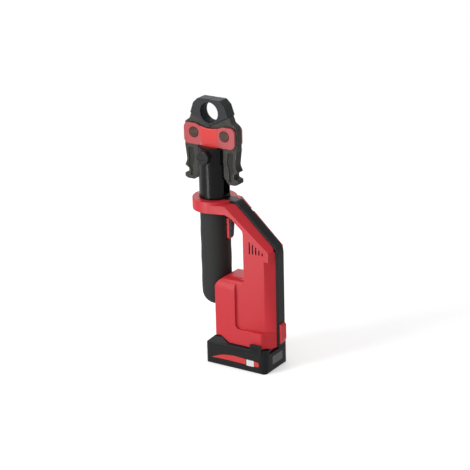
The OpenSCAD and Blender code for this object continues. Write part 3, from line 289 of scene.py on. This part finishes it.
def wear_group():
    """Edge wear: the eased edges, broken up by noise, as a mask."""
    patchy = (0.35, 0.7)
    group = bpy.data.node_groups.new("edge wear", "ShaderNodeTree")
    amount = group.interface.new_socket("Amount", in_out="INPUT", socket_type="NodeSocketFloat")
    amount.default_value = 0.5
    group.interface.new_socket("Mask", in_out="OUTPUT", socket_type="NodeSocketFloat")
    entry = group.nodes.new("NodeGroupInput")
    leave = group.nodes.new("NodeGroupOutput")
    edge = group.nodes.new("ShaderNodeAttribute")
    edge.attribute_name = "edge_wear"
    where = group.nodes.new("ShaderNodeTexCoord")
    patch = group.nodes.new("ShaderNodeTexNoise")
    patch.inputs["Scale"].default_value = 160.0
    patch.inputs["Detail"].default_value = 5.0
    feed(group, patch.inputs["Vector"], where.outputs["Object"])
    spread = range_node(group, patch.outputs["Fac"], start=patchy)
    broken = math_node(group, "MULTIPLY", edge.outputs["Fac"], spread)
    feed(group, leave.inputs["Mask"], math_node(group, "MULTIPLY", broken, entry.outputs["Amount"]))
    return group


moulded_grain = grain_group()
edge_wear = wear_group()


def opaque(colour):
    return (*colour, 1.0)


def colour_mix(tree, factor, first, second):
    """The first colour where a factor is 0 and the second where it is 1; a colour may be an output."""
    node = tree.nodes.new("ShaderNodeMix")
    node.data_type = "RGBA"
    feed(tree, node.inputs["Factor"], factor)
    feed(tree, node.inputs["A"], first)
    feed(tree, node.inputs["B"], second)
    return node.outputs["Result"]


def shader_colour(tree):
    """The shader's colour input, and the output that feeds it so far."""
    entry = tree.nodes["Principled BSDF"].inputs["Base Color"]
    return entry, entry.links[0].from_socket


def finish_material(name, colour, worn_colour, roughness, metallic=0.0, grain=0.0006, grain_depth=0.00002,
                    drift=0.06, drift_size=0.03, wear=0.3, specular=0.3, coat=0.0, coat_roughness=0.1):
    """A solid finish: grain and drift over the surface, and a worn colour on the eased edges."""
    gloss_spread = 0.15
    material = bpy.data.materials.new(name)
    material.use_nodes = True
    tree = material.node_tree
    shader = tree.nodes["Principled BSDF"]
    shader.inputs["Metallic"].default_value = metallic
    shader.inputs["Specular IOR Level"].default_value = specular
    shader.inputs["Coat Weight"].default_value = coat
    shader.inputs["Coat Roughness"].default_value = coat_roughness
    texture = tree.nodes.new("ShaderNodeGroup")
    texture.node_tree = moulded_grain
    texture.inputs["Grain Size"].default_value = grain
    texture.inputs["Drift Size"].default_value = drift_size
    worn = tree.nodes.new("ShaderNodeGroup")
    worn.node_tree = edge_wear
    worn.inputs["Amount"].default_value = wear
    dark = tuple(c * (1.0 - drift) for c in colour)
    light = tuple(min(c * (1.0 + drift), 1.0) for c in colour)
    shade = colour_mix(tree, texture.outputs["Drift"], opaque(dark), opaque(light))
    rubbed = colour_mix(tree, worn.outputs["Mask"], shade, opaque(worn_colour))
    feed(tree, shader.inputs["Base Color"], rubbed)
    gloss = (roughness * (1.0 - gloss_spread), min(roughness * (1.0 + gloss_spread), 1.0))
    feed(tree, shader.inputs["Roughness"], range_node(tree, texture.outputs["Drift"], end=gloss))
    bump = tree.nodes.new("ShaderNodeBump")
    bump.name = "relief"
    bump.inputs["Strength"].default_value = 0.5
    bump.inputs["Distance"].default_value = grain_depth
    feed(tree, bump.inputs["Height"], texture.outputs["Height"])
    feed(tree, shader.inputs["Normal"], bump.outputs["Normal"])
    return material


def seam_edge(edge):
    near = 0.0002
    return all(abs(vert.co.y) < near for vert in edge.verts)


def outline_test(bm, side=0, seam_zone=0.0, hollows=True):
    """Test for outline edges: they see open air, and neither face is the wall of a hole.
    With a side, only edges on that side of the seam pass; without hollows, only outward edges do."""
    tree = BVHTree.FromBMesh(bm)
    lift = 0.0003
    depth = 0.0012
    reach = 0.3
    hole_w = 0.025
    turned_in = -0.1

    def walls_near(middle, first, second):
        start = middle - second * depth + first * lift
        return tree.ray_cast(start, first, hole_w)[0] is not None

    def on_outline(edge):
        if any(abs(vert.co.y) < seam_zone for vert in edge.verts):
            return False
        first, second = (face.normal for face in edge.link_faces)
        way = (first + second).normalized()
        middle = (edge.verts[0].co + edge.verts[1].co) / 2
        if way.y * side < turned_in or tree.ray_cast(middle + way * lift, way, reach)[0] is not None:
            return False
        if edge.calc_face_angle_signed(0.0) < 0:
            return hollows
        return not walls_near(middle, first, second) and not walls_near(middle, second, first)

    return on_outline


def merge_short(bm, edges, length):
    """Joins the ends of short edges among the given ones."""
    nothing = 1e-6
    verts = list(dict.fromkeys(vert for edge in edges for vert in edge.verts))
    bmesh.ops.remove_doubles(bm, verts=verts, dist=length)
    bmesh.ops.dissolve_degenerate(bm, edges=bm.edges, dist=nothing)


def without_points(edges):
    """Leaves out the shorter of two edges that meet in a narrow point, where a rounding would fold."""
    narrow = math.radians(40.0)
    at_vert = {}
    for edge in edges:
        for vert in edge.verts:
            at_vert.setdefault(vert, []).append(edge)
    folded = set()
    for vert, group in at_vert.items():
        for first, second in combinations(group, 2):
            one = first.other_vert(vert).co - vert.co
            other = second.other_vert(vert).co - vert.co
            if one.angle(other, math.pi) < narrow:
                folded.add(min(first, second, key=bmesh.types.BMEdge.calc_length))
    return [edge for edge in edges if edge not in folded]


def ease_outline(bm, width, segments, side=0, seam_zone=0.0, hollows=True, zone=every_edge):
    """Rounds the outline edges in a zone to the full width, short stretches joined first."""
    short = 0.0003

    def chosen():
        on_outline = outline_test(bm, side, seam_zone, hollows)
        return sharp_edges(bm, lambda edge: zone(edge) and on_outline(edge))

    merge_short(bm, chosen(), short)
    ease_edges(bm, without_points(chosen()), width, segments, clamp=False)


def moulded_piece(node, body, material, width, segments=2, hollows=True, zone=every_edge):
    """A piece with its outline edges rounded to the full width."""
    bm = merged_copy(node)
    ease_outline(bm, width, segments, hollows=hollows, zone=zone)
    dress(node, body, material, bm)


def mark_vents(bm):
    """Marks the walls of the vent slots, which get painted shade, near black."""
    low = Vector((0.0815, 0.020, 0.2095))
    high = Vector((0.1085, 0.030, 0.2315))
    upright = 0.3
    mark = bm.loops.layers.float.new("vent_wall_shade")
    for face in bm.faces:
        middle = face.calc_center_median()
        middle.y = abs(middle.y)
        inside = all(low[i] < middle[i] < high[i] for i in range(3))
        for loop in face.loops:
            loop[mark] = float(inside and abs(face.normal.y) < upright)


def vented_plastic(material):
    """Mixes painted shade, near black, over the faces that are marked as walls of the vents."""
    vent_shade_colour = (0.006, 0.004, 0.004)
    tree = material.node_tree
    entry, colour = shader_colour(tree)
    mark = tree.nodes.new("ShaderNodeAttribute")
    mark.attribute_name = "vent_wall_shade"
    feed(tree, entry, colour_mix(tree, mark.outputs["Fac"], colour, opaque(vent_shade_colour)))
    return material


red_plastic = vented_plastic(finish_material(
    "red moulded plastic", colour=(0.56, 0.022, 0.032), worn_colour=(0.64, 0.06, 0.065), roughness=0.46,
    specular=0.25))
moulded_r = 0.0008
seam_r = 0.0003
seam_zone = 0.004
for node, side in (("housing_left", -1), ("housing_right", 1)):
    bm = merged_copy(node)
    ease_outline(bm, moulded_r, segments=3, side=side, seam_zone=seam_zone)
    ease_edges(bm, sharp_edges(bm, seam_edge), seam_r, segments=1)
    # Painted shade: the walls of the vent slots are marked, and the red plastic colours them near black.
    mark_vents(bm)
    dress(node, "handle", red_plastic, bm)


# Vent shade pads: a pad of black foam behind the five slots on each side, a dark sheet that is painted shade
# for the inside of the vents.
# Each is a flat cutting inside its shell, with a sloping top like the slots'.
def flat_piece(name, body, points, place, thick, material):
    """A flat cutting: an outline given a thickness, put in its place by a function of u, v and height."""
    bm = bmesh.new()
    base = [bm.verts.new(place(u, v, 0.0)) for u, v in points]
    top = [bm.verts.new(place(u, v, thick)) for u, v in points]
    bm.faces.new(base)
    bm.faces.new(top)
    for i in range(len(points)):
        j = (i + 1) % len(points)
        bm.faces.new((base[i], base[j], top[j], top[i]))
    bmesh.ops.recalc_face_normals(bm, faces=bm.faces)
    mesh = bpy.data.meshes.new(name)
    bm.to_mesh(mesh)
    bm.free()
    mesh.materials.append(material)
    piece = link_piece(name, mesh, body)


def rounded_outline(corners, steps=5):
    """A closed outline with each corner (u, v, cut) turned into a curve that starts and ends cut away."""
    result = []
    count = len(corners)
    for i in range(count):
        before = Vector(corners[i - 1][:2])
        here = Vector(corners[i][:2])
        after = Vector(corners[(i + 1) % count][:2])
        start = here + (before - here).normalized() * corners[i][2]
        end = here + (after - here).normalized() * corners[i][2]
        for k in range(steps + 1):
            t = k / steps
            result.append(tuple(start * (1 - t) ** 2 + here * (2 * t * (1 - t)) + end * t ** 2))
    return result


# Painted shade: near-black foam for the pads that darken the vents.
vent_shade_foam = finish_material(
    "vent shade foam", colour=(0.007, 0.007, 0.007), worn_colour=(0.02, 0.02, 0.02), roughness=0.95, grain=0.0012,
    grain_depth=0.0004, drift=0.3, drift_size=0.004, wear=0.0, specular=0.05)
pad_y = 0.0160
pad_thick = 0.0018
pad_outline = rounded_outline([
    (0.0810, 0.2075, 0.001), (0.1100, 0.2075, 0.001), (0.1100, 0.2205, 0.001), (0.0850, 0.2335, 0.001),
    (0.0810, 0.2335, 0.001)])
for label, side in (("left", -1), ("right", 1)):
    def behind_vents(u, v, height, side=side):
        return (u, side * (pad_y + height), v)

    flat_piece("vent_shade_pad_" + label, "handle", pad_outline, behind_vents, pad_thick, vent_shade_foam)


# Rear strip: a black moulded cover that clips into a groove along the back of the spine and the arm.
# Its sloping part carries a field of small raised dots, so that a hand on it doesn't slip.
black_plastic = finish_material(
    "black moulded plastic", colour=(0.008, 0.0075, 0.0085), worn_colour=(0.04, 0.04, 0.042), roughness=0.45,
    specular=0.12)
eased_piece("spine_cover", "handle", black_plastic, width=0.0010, segments=3)


def new_tree(name, sizes):
    """A geometry tree with one named input for each size, and its two end nodes."""
    tree = bpy.data.node_groups.new(name, "GeometryNodeTree")
    for label, kind in sizes:
        tree.interface.new_socket(label, in_out="INPUT", socket_type=kind)
    tree.interface.new_socket("Geometry", in_out="OUTPUT", socket_type="NodeSocketGeometry")
    return tree, tree.nodes.new("NodeGroupInput"), tree.nodes.new("NodeGroupOutput")


def close_tree(tree, instances, entry, leave):
    """Ends a tree: turn and place the instances, make them real and smooth them."""
    turn = tree.nodes.new("FunctionNodeEulerToRotation")
    place = tree.nodes.new("GeometryNodeTransform")
    real = tree.nodes.new("GeometryNodeRealizeInstances")
    smooth = tree.nodes.new("GeometryNodeSetShadeSmooth")
    tree.links.new(entry.outputs["Turn"], turn.inputs[0])
    tree.links.new(turn.outputs[0], place.inputs["Rotation"])
    tree.links.new(entry.outputs["Place"], place.inputs["Translation"])
    tree.links.new(instances, place.inputs["Geometry"])
    tree.links.new(place.outputs["Geometry"], real.inputs["Geometry"])
    tree.links.new(real.outputs["Geometry"], smooth.inputs["Geometry"])
    tree.links.new(smooth.outputs["Geometry"], leave.inputs["Geometry"])


def grown_piece(name, body, tree, values, material):
    """A piece that a geometry tree makes from its sizes, as plain mesh."""
    piece = bpy.data.objects.new(name, bpy.data.meshes.new(name))
    bpy.context.scene.collection.objects.link(piece)
    growth = piece.modifiers.new("growth", "NODES")
    growth.node_group = tree
    for socket in tree.interface.items_tree:
        if socket.in_out == "INPUT":
            growth[socket.identifier] = values[socket.name]
    settle(piece)
    piece.data.materials.clear()
    piece.data.materials.append(material)
    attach(piece, body)


def ball(tree, segments, rings):
    """A ball of radius 1, which its instances scale."""
    node = tree.nodes.new("GeometryNodeMeshUVSphere")
    node.inputs["Segments"].default_value = segments
    node.inputs["Rings"].default_value = rings
    node.inputs["Radius"].default_value = 1.0
    return node.outputs["Mesh"]


def dot_field_tree():
    tree, entry, leave = new_tree("dot field", (
        ("Length", "NodeSocketFloat"), ("Width", "NodeSocketFloat"), ("Along", "NodeSocketInt"),
        ("Across", "NodeSocketInt"), ("Dot", "NodeSocketVector"), ("Place", "NodeSocketVector"),
        ("Turn", "NodeSocketVector")))
    grid = tree.nodes.new("GeometryNodeMeshGrid")
    tree.links.new(entry.outputs["Length"], grid.inputs["Size X"])
    tree.links.new(entry.outputs["Width"], grid.inputs["Size Y"])
    tree.links.new(entry.outputs["Along"], grid.inputs["Vertices X"])
    tree.links.new(entry.outputs["Across"], grid.inputs["Vertices Y"])
    spots = tree.nodes.new("GeometryNodeInstanceOnPoints")
    tree.links.new(grid.outputs["Mesh"], spots.inputs["Points"])
    tree.links.new(ball(tree, segments=8, rings=5), spots.inputs["Instance"])
    tree.links.new(entry.outputs["Dot"], spots.inputs["Scale"])
    close_tree(tree, spots.outputs["Instances"], entry, leave)
    return tree


strip_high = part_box("spine_cover")[1]
arm_slope = math.radians(42.0)
knee_x = 0.0492
dots_from = 0.009
dots_to = 0.092
dots_w = 0.0135
dot_pitch = 0.0021
dots_mid = (dots_from + dots_to) / 2
grown_piece("strip_dots", "handle", dot_field_tree(), {
    "Length": dots_to - dots_from,
    "Width": dots_w,
    "Along": int((dots_to - dots_from) / dot_pitch) + 1,
    "Across": int(dots_w / dot_pitch) + 1,
    "Dot": (0.00062, 0.00062, 0.0004),
    "Place": (knee_x + dots_mid * math.cos(arm_slope), 0.0, strip_high.z - dots_mid * math.sin(arm_slope)),
    "Turn": (0.0, arm_slope, 0.0),
}, black_plastic)


# Housing screws: seven steel screws with hexagon sockets, sunk in the right shell.
# They are blackened, with bright edges where the key has rubbed.
black_screw = finish_material(
    "blackened screw steel", colour=(0.05, 0.05, 0.052), worn_colour=(0.35, 0.35, 0.36), roughness=0.38,
    metallic=0.9, grain=0.0004, wear=0.6)
eased_piece("housing_screws", "handle", black_screw, width=0.0002, segments=1)


# Grip: a soft black rubber sleeve over the core tube, moulded with slow waves for the fingers.
# It is pushed on from below and ends in a round dome.
grip_rubber = finish_material(
    "grip rubber", colour=(0.026, 0.026, 0.026), worn_colour=(0.04, 0.04, 0.04), roughness=0.7, grain=0.0011,
    grain_depth=0.00012, drift=0.18, drift_size=0.02, wear=0.2, specular=0.15)
eased_piece("grip_sleeve", "handle", grip_rubber, width=0.0006)


# Trigger: a red plastic key with a black rubber pad, in a black frame let into the grip.
# It slides straight in and presses the switch behind it.
pad_rubber = finish_material(
    "pad rubber", colour=(0.012, 0.012, 0.013), worn_colour=(0.04, 0.04, 0.04), roughness=0.55, grain=0.0007,
    grain_depth=0.00005, specular=0.2)
moulded_piece("trigger", "trigger", red_plastic, width=0.0005, hollows=False)
eased_piece("trigger_pad", "trigger", pad_rubber, width=0.0009, segments=3)
eased_piece("trigger_bezel", "handle", black_plastic, width=0.0004)


# Return button: a red plastic key low on the back, in a window of the strip.
# Pushed in, it lets the oil flow back.
eased_piece("return_button", "return_button", red_plastic, width=0.0009, segments=3)


# Drive and electronics inside the housing: turned, ground and blackened steel, bronze bushes, copper
# windings, boards and wires. They stay as built, each with the finish of its metal or plastic.
def refinish(nodes, material):
    for node in nodes:
        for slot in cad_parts[node].material_slots:
            slot.material = material


ground_steel = finish_material(
    "ground steel", colour=(0.52, 0.52, 0.53), worn_colour=(0.7, 0.7, 0.7), roughness=0.3, metallic=1.0,
    grain=0.0003, grain_depth=0.00001, drift=0.08, drift_size=0.006, wear=0.0)
dark_steel = finish_material(
    "oiled dark steel", colour=(0.13, 0.13, 0.135), worn_colour=(0.3, 0.3, 0.3), roughness=0.42, metallic=0.9,
    grain=0.0005, drift=0.15, drift_size=0.01, wear=0.0)
bronze = finish_material(
    "bearing bronze", colour=(0.52, 0.31, 0.12), worn_colour=(0.7, 0.5, 0.25), roughness=0.36, metallic=1.0,
    grain=0.0004, drift=0.12, drift_size=0.008, wear=0.0)
copper = finish_material(
    "copper", colour=(0.62, 0.27, 0.14), worn_colour=(0.8, 0.45, 0.3), roughness=0.34, metallic=1.0,
    grain=0.0005, drift=0.1, drift_size=0.004, wear=0.0)
inner_plastic = finish_material(
    "inner black plastic", colour=(0.03, 0.03, 0.032), worn_colour=(0.06, 0.06, 0.06), roughness=0.55,
    wear=0.0)
seal_rubber = finish_material(
    "seal and wire rubber", colour=(0.035, 0.035, 0.036), worn_colour=(0.06, 0.06, 0.06), roughness=0.6,
    wear=0.0)
board_resin = finish_material(
    "board resin", colour=(0.012, 0.10, 0.045), worn_colour=(0.05, 0.2, 0.1), roughness=0.35, grain=0.0005,
    drift=0.2, drift_size=0.003, wear=0.0)
refinish(("core_tube", "core_end_cap", "motor_bearings", "plunger_spring", "carrier_bearing", "pump_plunger",
          "rotor", "sun_gear", "planet_carrier", "board_screws"), ground_steel)
refinish(("motor_can", "ring_gear", "pump_block"), dark_steel)
refinish(("swivel_bush", "planet_gear_1", "planet_gear_2", "planet_gear_3"), bronze)
refinish(("stator", "terminal_blades"), copper)
refinish(("trigger_switch", "return_switch", "terminal_block", "board_parts"), inner_plastic)
refinish(("motor_leads",), seal_rubber)
refinish(("control_board",), board_resin)


# Press head: tube and fork turned and milled from one bar and finished in hard gloss black.
# It swivels in the collar and is the ram's cylinder, with a round boss for the locking pin.
gloss_black = finish_material(
    "gloss black steel", colour=(0.004, 0.004, 0.005), worn_colour=(0.06, 0.06, 0.06), roughness=0.24,
    grain=0.0012, grain_depth=0.000006, drift=0.2, drift_size=0.012, wear=0.3, specular=0.13)
moulded_piece("press_cylinder", "press_head", gloss_black, width=0.0005, hollows=False)
refinish(("rod_gland",), bronze)
refinish(("swivel_ring", "ram_spring"), ground_steel)


# Ram: a ground piston rod with a yoke and two hardened rollers that spread the jaw arms.
# The rollers run on pins, and a spring brings the rod back.
refinish(("piston_rod", "roller_pins", "roller_left", "roller_right"), ground_steel)
refinish(("piston_seal",), seal_rubber)
eased_piece("roller_yoke", "ram", dark_steel, width=0.0004)


# Side plates: two red painted steel plates that hold the jaws, cut with round lobes and a hollow top.
# The paint is bright in the sunk middle, dull on the lobes and rubbed paler along the edges.
def step_node(tree, value, edge, width):
    """A mask that goes from 0 to 1 where a value passes an edge."""
    return range_node(tree, value, start=(edge - width / 2, edge + width / 2), blend="SMOOTHSTEP")


def place_node(tree):
    """The place on the part, with its X, Y and Z as outputs."""
    where = tree.nodes.new("ShaderNodeTexCoord")
    parts = tree.nodes.new("ShaderNodeSeparateXYZ")
    tree.links.new(where.outputs["Object"], parts.inputs[0])
    return parts.outputs


plate_middle_x = 0.0160
plate_slope = 0.0014


def painted_steel():
    """Red paint that is bright in the sunk middle of a plate, and dull on the lobes round the pins."""
    dull_red = (0.46, 0.065, 0.072)
    material = finish_material(
        "red plate paint", colour=(0.70, 0.028, 0.026), worn_colour=(0.62, 0.26, 0.25), roughness=0.34,
        grain=0.0016, grain_depth=0.00001, drift=0.05, wear=0.5, specular=0.2, coat=0.1, coat_roughness=0.2)
    tree = material.node_tree
    entry, colour = shader_colour(tree)
    across = math_node(tree, "ABSOLUTE", place_node(tree)["X"])
    lobe = step_node(tree, across, plate_middle_x + plate_slope / 2, plate_slope)
    feed(tree, entry, colour_mix(tree, lobe, colour, opaque(dull_red)))
    return material


def sink_middle(bm, side):
    """Sets the middle of a plate's outer face a little deeper than the lobes round the pins."""
    depth = 0.0005
    rounding = 0.00085
    small = 0.00001
    for x in (plate_middle_x, plate_middle_x + plate_slope):
        for sign in (-1, 1):
            everything = bm.verts[:] + bm.edges[:] + bm.faces[:]
            bmesh.ops.bisect_plane(bm, geom=everything, plane_co=(sign * x, 0, 0), plane_no=(1, 0, 0))
    outer = max(vert.co.y * side for vert in bm.verts)
    for vert in bm.verts:
        if abs(vert.co.x) < plate_middle_x + small and vert.co.y * side > outer - rounding:
            vert.co.y -= side * depth


plate_r = 0.0009
plate_paint = painted_steel()
for node, side in (("jaw_plate_front", -1), ("jaw_plate_rear", 1)):
    bm = merged_copy(node)
    ease_edges(bm, sharp_edges(bm, every_edge), plate_r, segments=3)
    sink_middle(bm, side)
    dress(node, "press_head", plate_paint, bm)


# Jaw pins: blackened steel pins through both plates, with flat turned heads sunk in the plates.
# The lathe has left fine rings on the heads.
def turned_steel(name, colour, centre_x, centre_z, ring_pitch):
    """Steel with turning rings round a Y axis at plus and minus centre_x."""
    ring_depth = 0.00006
    material = finish_material(
        name, colour, worn_colour=(0.12, 0.11, 0.10), roughness=0.42, metallic=0.25, grain=0.0005, drift=0.3,
        drift_size=0.006, wear=0.5, specular=0.12)
    tree = material.node_tree
    place = place_node(tree)
    flat = tree.nodes.new("ShaderNodeCombineXYZ")
    folded = math_node(tree, "ABSOLUTE", place["X"])
    feed(tree, flat.inputs["X"], math_node(tree, "SUBTRACT", folded, centre_x))
    feed(tree, flat.inputs["Y"], math_node(tree, "SUBTRACT", place["Z"], centre_z))
    away = tree.nodes.new("ShaderNodeVectorMath")
    away.operation = "LENGTH"
    feed(tree, away.inputs[0], flat.outputs[0])
    turns = math_node(tree, "MULTIPLY", away.outputs["Value"], math.tau / ring_pitch)
    relief = tree.nodes["relief"]
    relief.inputs["Distance"].default_value = ring_depth
    feed(tree, relief.inputs["Height"], math_node(tree, "SINE", turns))
    return material


pin_x = 0.030
pin_z = 0.402
pin_steel = turned_steel("turned pin steel", (0.050, 0.024, 0.018), pin_x, pin_z, ring_pitch=0.0011)
eased_piece("jaw_pins", "press_head", pin_steel, width=0.0005)


# Locking pin: a steel pin through the fork and the plates' tongues, with a knurled knob at the front.
# It is pulled out towards the front to change the jaws.
def knurl_tree():
    tree, entry, leave = new_tree("knurl", (
        ("Count", "NodeSocketInt"), ("Radius", "NodeSocketFloat"), ("Ridge", "NodeSocketVector"),
        ("Place", "NodeSocketVector"), ("Turn", "NodeSocketVector")))
    ring = tree.nodes.new("GeometryNodeMeshCircle")
    tree.links.new(entry.outputs["Count"], ring.inputs["Vertices"])
    tree.links.new(entry.outputs["Radius"], ring.inputs["Radius"])
    where = tree.nodes.new("GeometryNodeInputPosition")
    aim = tree.nodes.new("FunctionNodeAlignRotationToVector")
    aim.axis = "X"
    tree.links.new(where.outputs["Position"], aim.inputs["Vector"])
    spots = tree.nodes.new("GeometryNodeInstanceOnPoints")
    tree.links.new(ring.outputs["Mesh"], spots.inputs["Points"])
    tree.links.new(ball(tree, segments=6, rings=6), spots.inputs["Instance"])
    tree.links.new(aim.outputs["Rotation"], spots.inputs["Rotation"])
    tree.links.new(entry.outputs["Ridge"], spots.inputs["Scale"])
    close_tree(tree, spots.outputs["Instances"], entry, leave)
    return tree


lock_low, lock_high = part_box("locking_pin")
lock_z = (lock_low.z + lock_high.z) / 2
knob_r = (lock_high.z - lock_low.z) / 2
knurl_in = 0.00312
knob_steel = turned_steel("turned knob steel", (0.009, 0.009, 0.009), 0.0, lock_z, ring_pitch=0.0013)
eased_piece("locking_pin", "locking_pin", knob_steel, width=0.0005)
grown_piece("knob_knurl", "locking_pin", knurl_tree(), {
    "Count": 44,
    "Radius": knob_r,
    "Ridge": (0.00035, 0.0007, 0.0022),
    "Place": (0.0, lock_low.y + knurl_in, lock_z),
    "Turn": (math.radians(90.0), 0.0, 0.0),
}, knob_steel)


# Jaws: two drop-forged levers of dark steel with a milled press contour in their heads.
# The forged skin is mottled and finely pitted, and the edges are rubbed bright; painted shade darkens the
# arms' pockets and a band under the V.
def forged_steel():
    """Mottled steel below a V, smooth steel above it, and painted shade in the V's corner and the arms'
    pockets.
    """
    vee_z = 0.416
    vee_rise = 0.512
    vee_groove = 0.0013
    pocket_y = 0.0084
    pocket_top = 0.376
    blend = 0.0006
    pocket_blend = 0.0003
    pocket_shade = (0.009, 0.009, 0.008)
    head_black = (0.013, 0.0145, 0.017)
    corner_shadow = (0.003, 0.003, 0.003)
    pitting = (0.8, 0.15)
    material = finish_material(
        "forged dark steel", colour=(0.027, 0.026, 0.022), worn_colour=(0.16, 0.155, 0.14), roughness=0.55,
        metallic=0.3, grain=0.0026, grain_depth=0.0006, drift=0.8, drift_size=0.006, wear=0.8, specular=0.2)
    tree = material.node_tree
    entry, forged = shader_colour(tree)
    place = place_node(tree)
    slope = math_node(tree, "MULTIPLY", math_node(tree, "ABSOLUTE", place["X"]), vee_rise)
    height = math_node(tree, "SUBTRACT", place["Z"], slope)
    head = step_node(tree, height, vee_z, blend)
    # Painted shade: the sunk pockets of the arms below the plates are coloured near black.
    raised = step_node(tree, math_node(tree, "ABSOLUTE", place["Y"]), pocket_y, pocket_blend)
    above = step_node(tree, place["Z"], pocket_top, blend)
    unshaded = math_node(tree, "MAXIMUM", raised, above)
    pocket_shaded = colour_mix(tree, unshaded, opaque(pocket_shade), forged)
    smooth = colour_mix(tree, head, pocket_shaded, opaque(head_black))
    # Painted shadow: a dark band just under the V's edge, where the head stands out.
    groove = math_node(tree, "SUBTRACT", step_node(tree, height, vee_z - vee_groove, blend), head)
    feed(tree, entry, colour_mix(tree, groove, smooth, opaque(corner_shadow)))
    feed(tree, tree.nodes["relief"].inputs["Strength"], range_node(tree, head, end=pitting))
    return material


bore_z = 0.439
bore_r = 0.0185


def outside_bore(edge):
    return all(math.hypot(vert.co.x, vert.co.z - bore_z) > bore_r for vert in edge.verts)


jaw_steel = forged_steel()
for node in ("jaw_left", "jaw_right"):
    moulded_piece(node, node, jaw_steel, width=0.0006, hollows=False, zone=outside_bore)


# Battery: a tray and a lid in black plastic, screwed together, with the cells and their board inside.
# The pack slides onto the housing's rail from the front.
pack_plastic = finish_material(
    "battery plastic", colour=(0.010, 0.010, 0.011), worn_colour=(0.05, 0.05, 0.05), roughness=0.5,
    grain=0.0008, grain_depth=0.00003, specular=0.12)
cell_wrap = finish_material(
    "cell wrap", colour=(0.03, 0.11, 0.30), worn_colour=(0.2, 0.3, 0.5), roughness=0.3, grain=0.0004,
    drift=0.1, wear=0.0)
for node in ("battery_tray", "battery_lid"):
    moulded_piece(node, "battery", pack_plastic, width=0.0005)
eased_piece("battery_screws", "battery", black_screw, width=0.0002, segments=1)
refinish(("battery_cells",), cell_wrap)
refinish(("cell_holders",), inner_plastic)
refinish(("battery_board",), board_resin)
refinish(("battery_terminals",), copper)


# Battery bands: a thin red foil with a white patch on each long side, and a grey foil behind.
# They are flat stickers, bare of any print but their colours.
tray_low, tray_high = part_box("battery_tray")
foil_thick = 0.00015
foil_red = finish_material(
    "red foil", colour=(0.60, 0.035, 0.035), worn_colour=(0.7, 0.2, 0.2), roughness=0.35, grain=0.0005,
    wear=0.0)
foil_white = finish_material(
    "white foil", colour=(0.72, 0.72, 0.71), worn_colour=(0.8, 0.8, 0.8), roughness=0.4, grain=0.0005,
    wear=0.0)
foil_grey = finish_material(
    "grey foil", colour=(0.085, 0.085, 0.09), worn_colour=(0.2, 0.2, 0.2), roughness=0.45, grain=0.0005,
    wear=0.0)
foils = (
    ("band", foil_red, rounded_outline([
        (0.0095, 0.0128, 0.0006), (0.030, 0.0212, 0.008), (0.053, 0.0242, 0.010), (0.0785, 0.0226, 0.0008),
        (0.0785, 0.0130, 0.0008), (0.050, 0.0136, 0.008)])),
    ("patch", foil_white, rounded_outline([
        (0.0795, 0.0117, 0.0008), (0.0795, 0.0226, 0.0008), (0.0942, 0.0222, 0.0008),
        (0.0942, 0.0117, 0.0008)])),
    ("band_end", foil_red, rounded_outline([
        (0.0952, 0.0127, 0.0008), (0.0952, 0.0218, 0.0008), (0.104, 0.0208, 0.003), (0.104, 0.0130, 0.003)])),
)
for label, side, face_y in (("left", -1, tray_low.y), ("right", 1, tray_high.y)):
    def on_side(u, v, height, side=side, face_y=face_y):
        return (u, face_y + side * height, v)

    for name, material, points in foils:
        flat_piece(name + "_" + label, "battery", points, on_side, foil_thick, material)


def on_rear(u, v, height):
    return (tray_high.x + height, u, v)


rear_outline = rounded_outline([
    (-0.016, 0.0125, 0.002), (-0.016, 0.0275, 0.002), (0.016, 0.0275, 0.002), (0.016, 0.0125, 0.002)])
flat_piece("rear_foil", "battery", rear_outline, on_rear, foil_thick, foil_grey)


# Latches: two black plastic tabs on the shoulders of the pack, with finger grooves.
# Pressed in together, they let the pack slide off.
for node in ("latch_left", "latch_right"):
    moulded_piece(node, node, pack_plastic, width=0.0003, hollows=False)
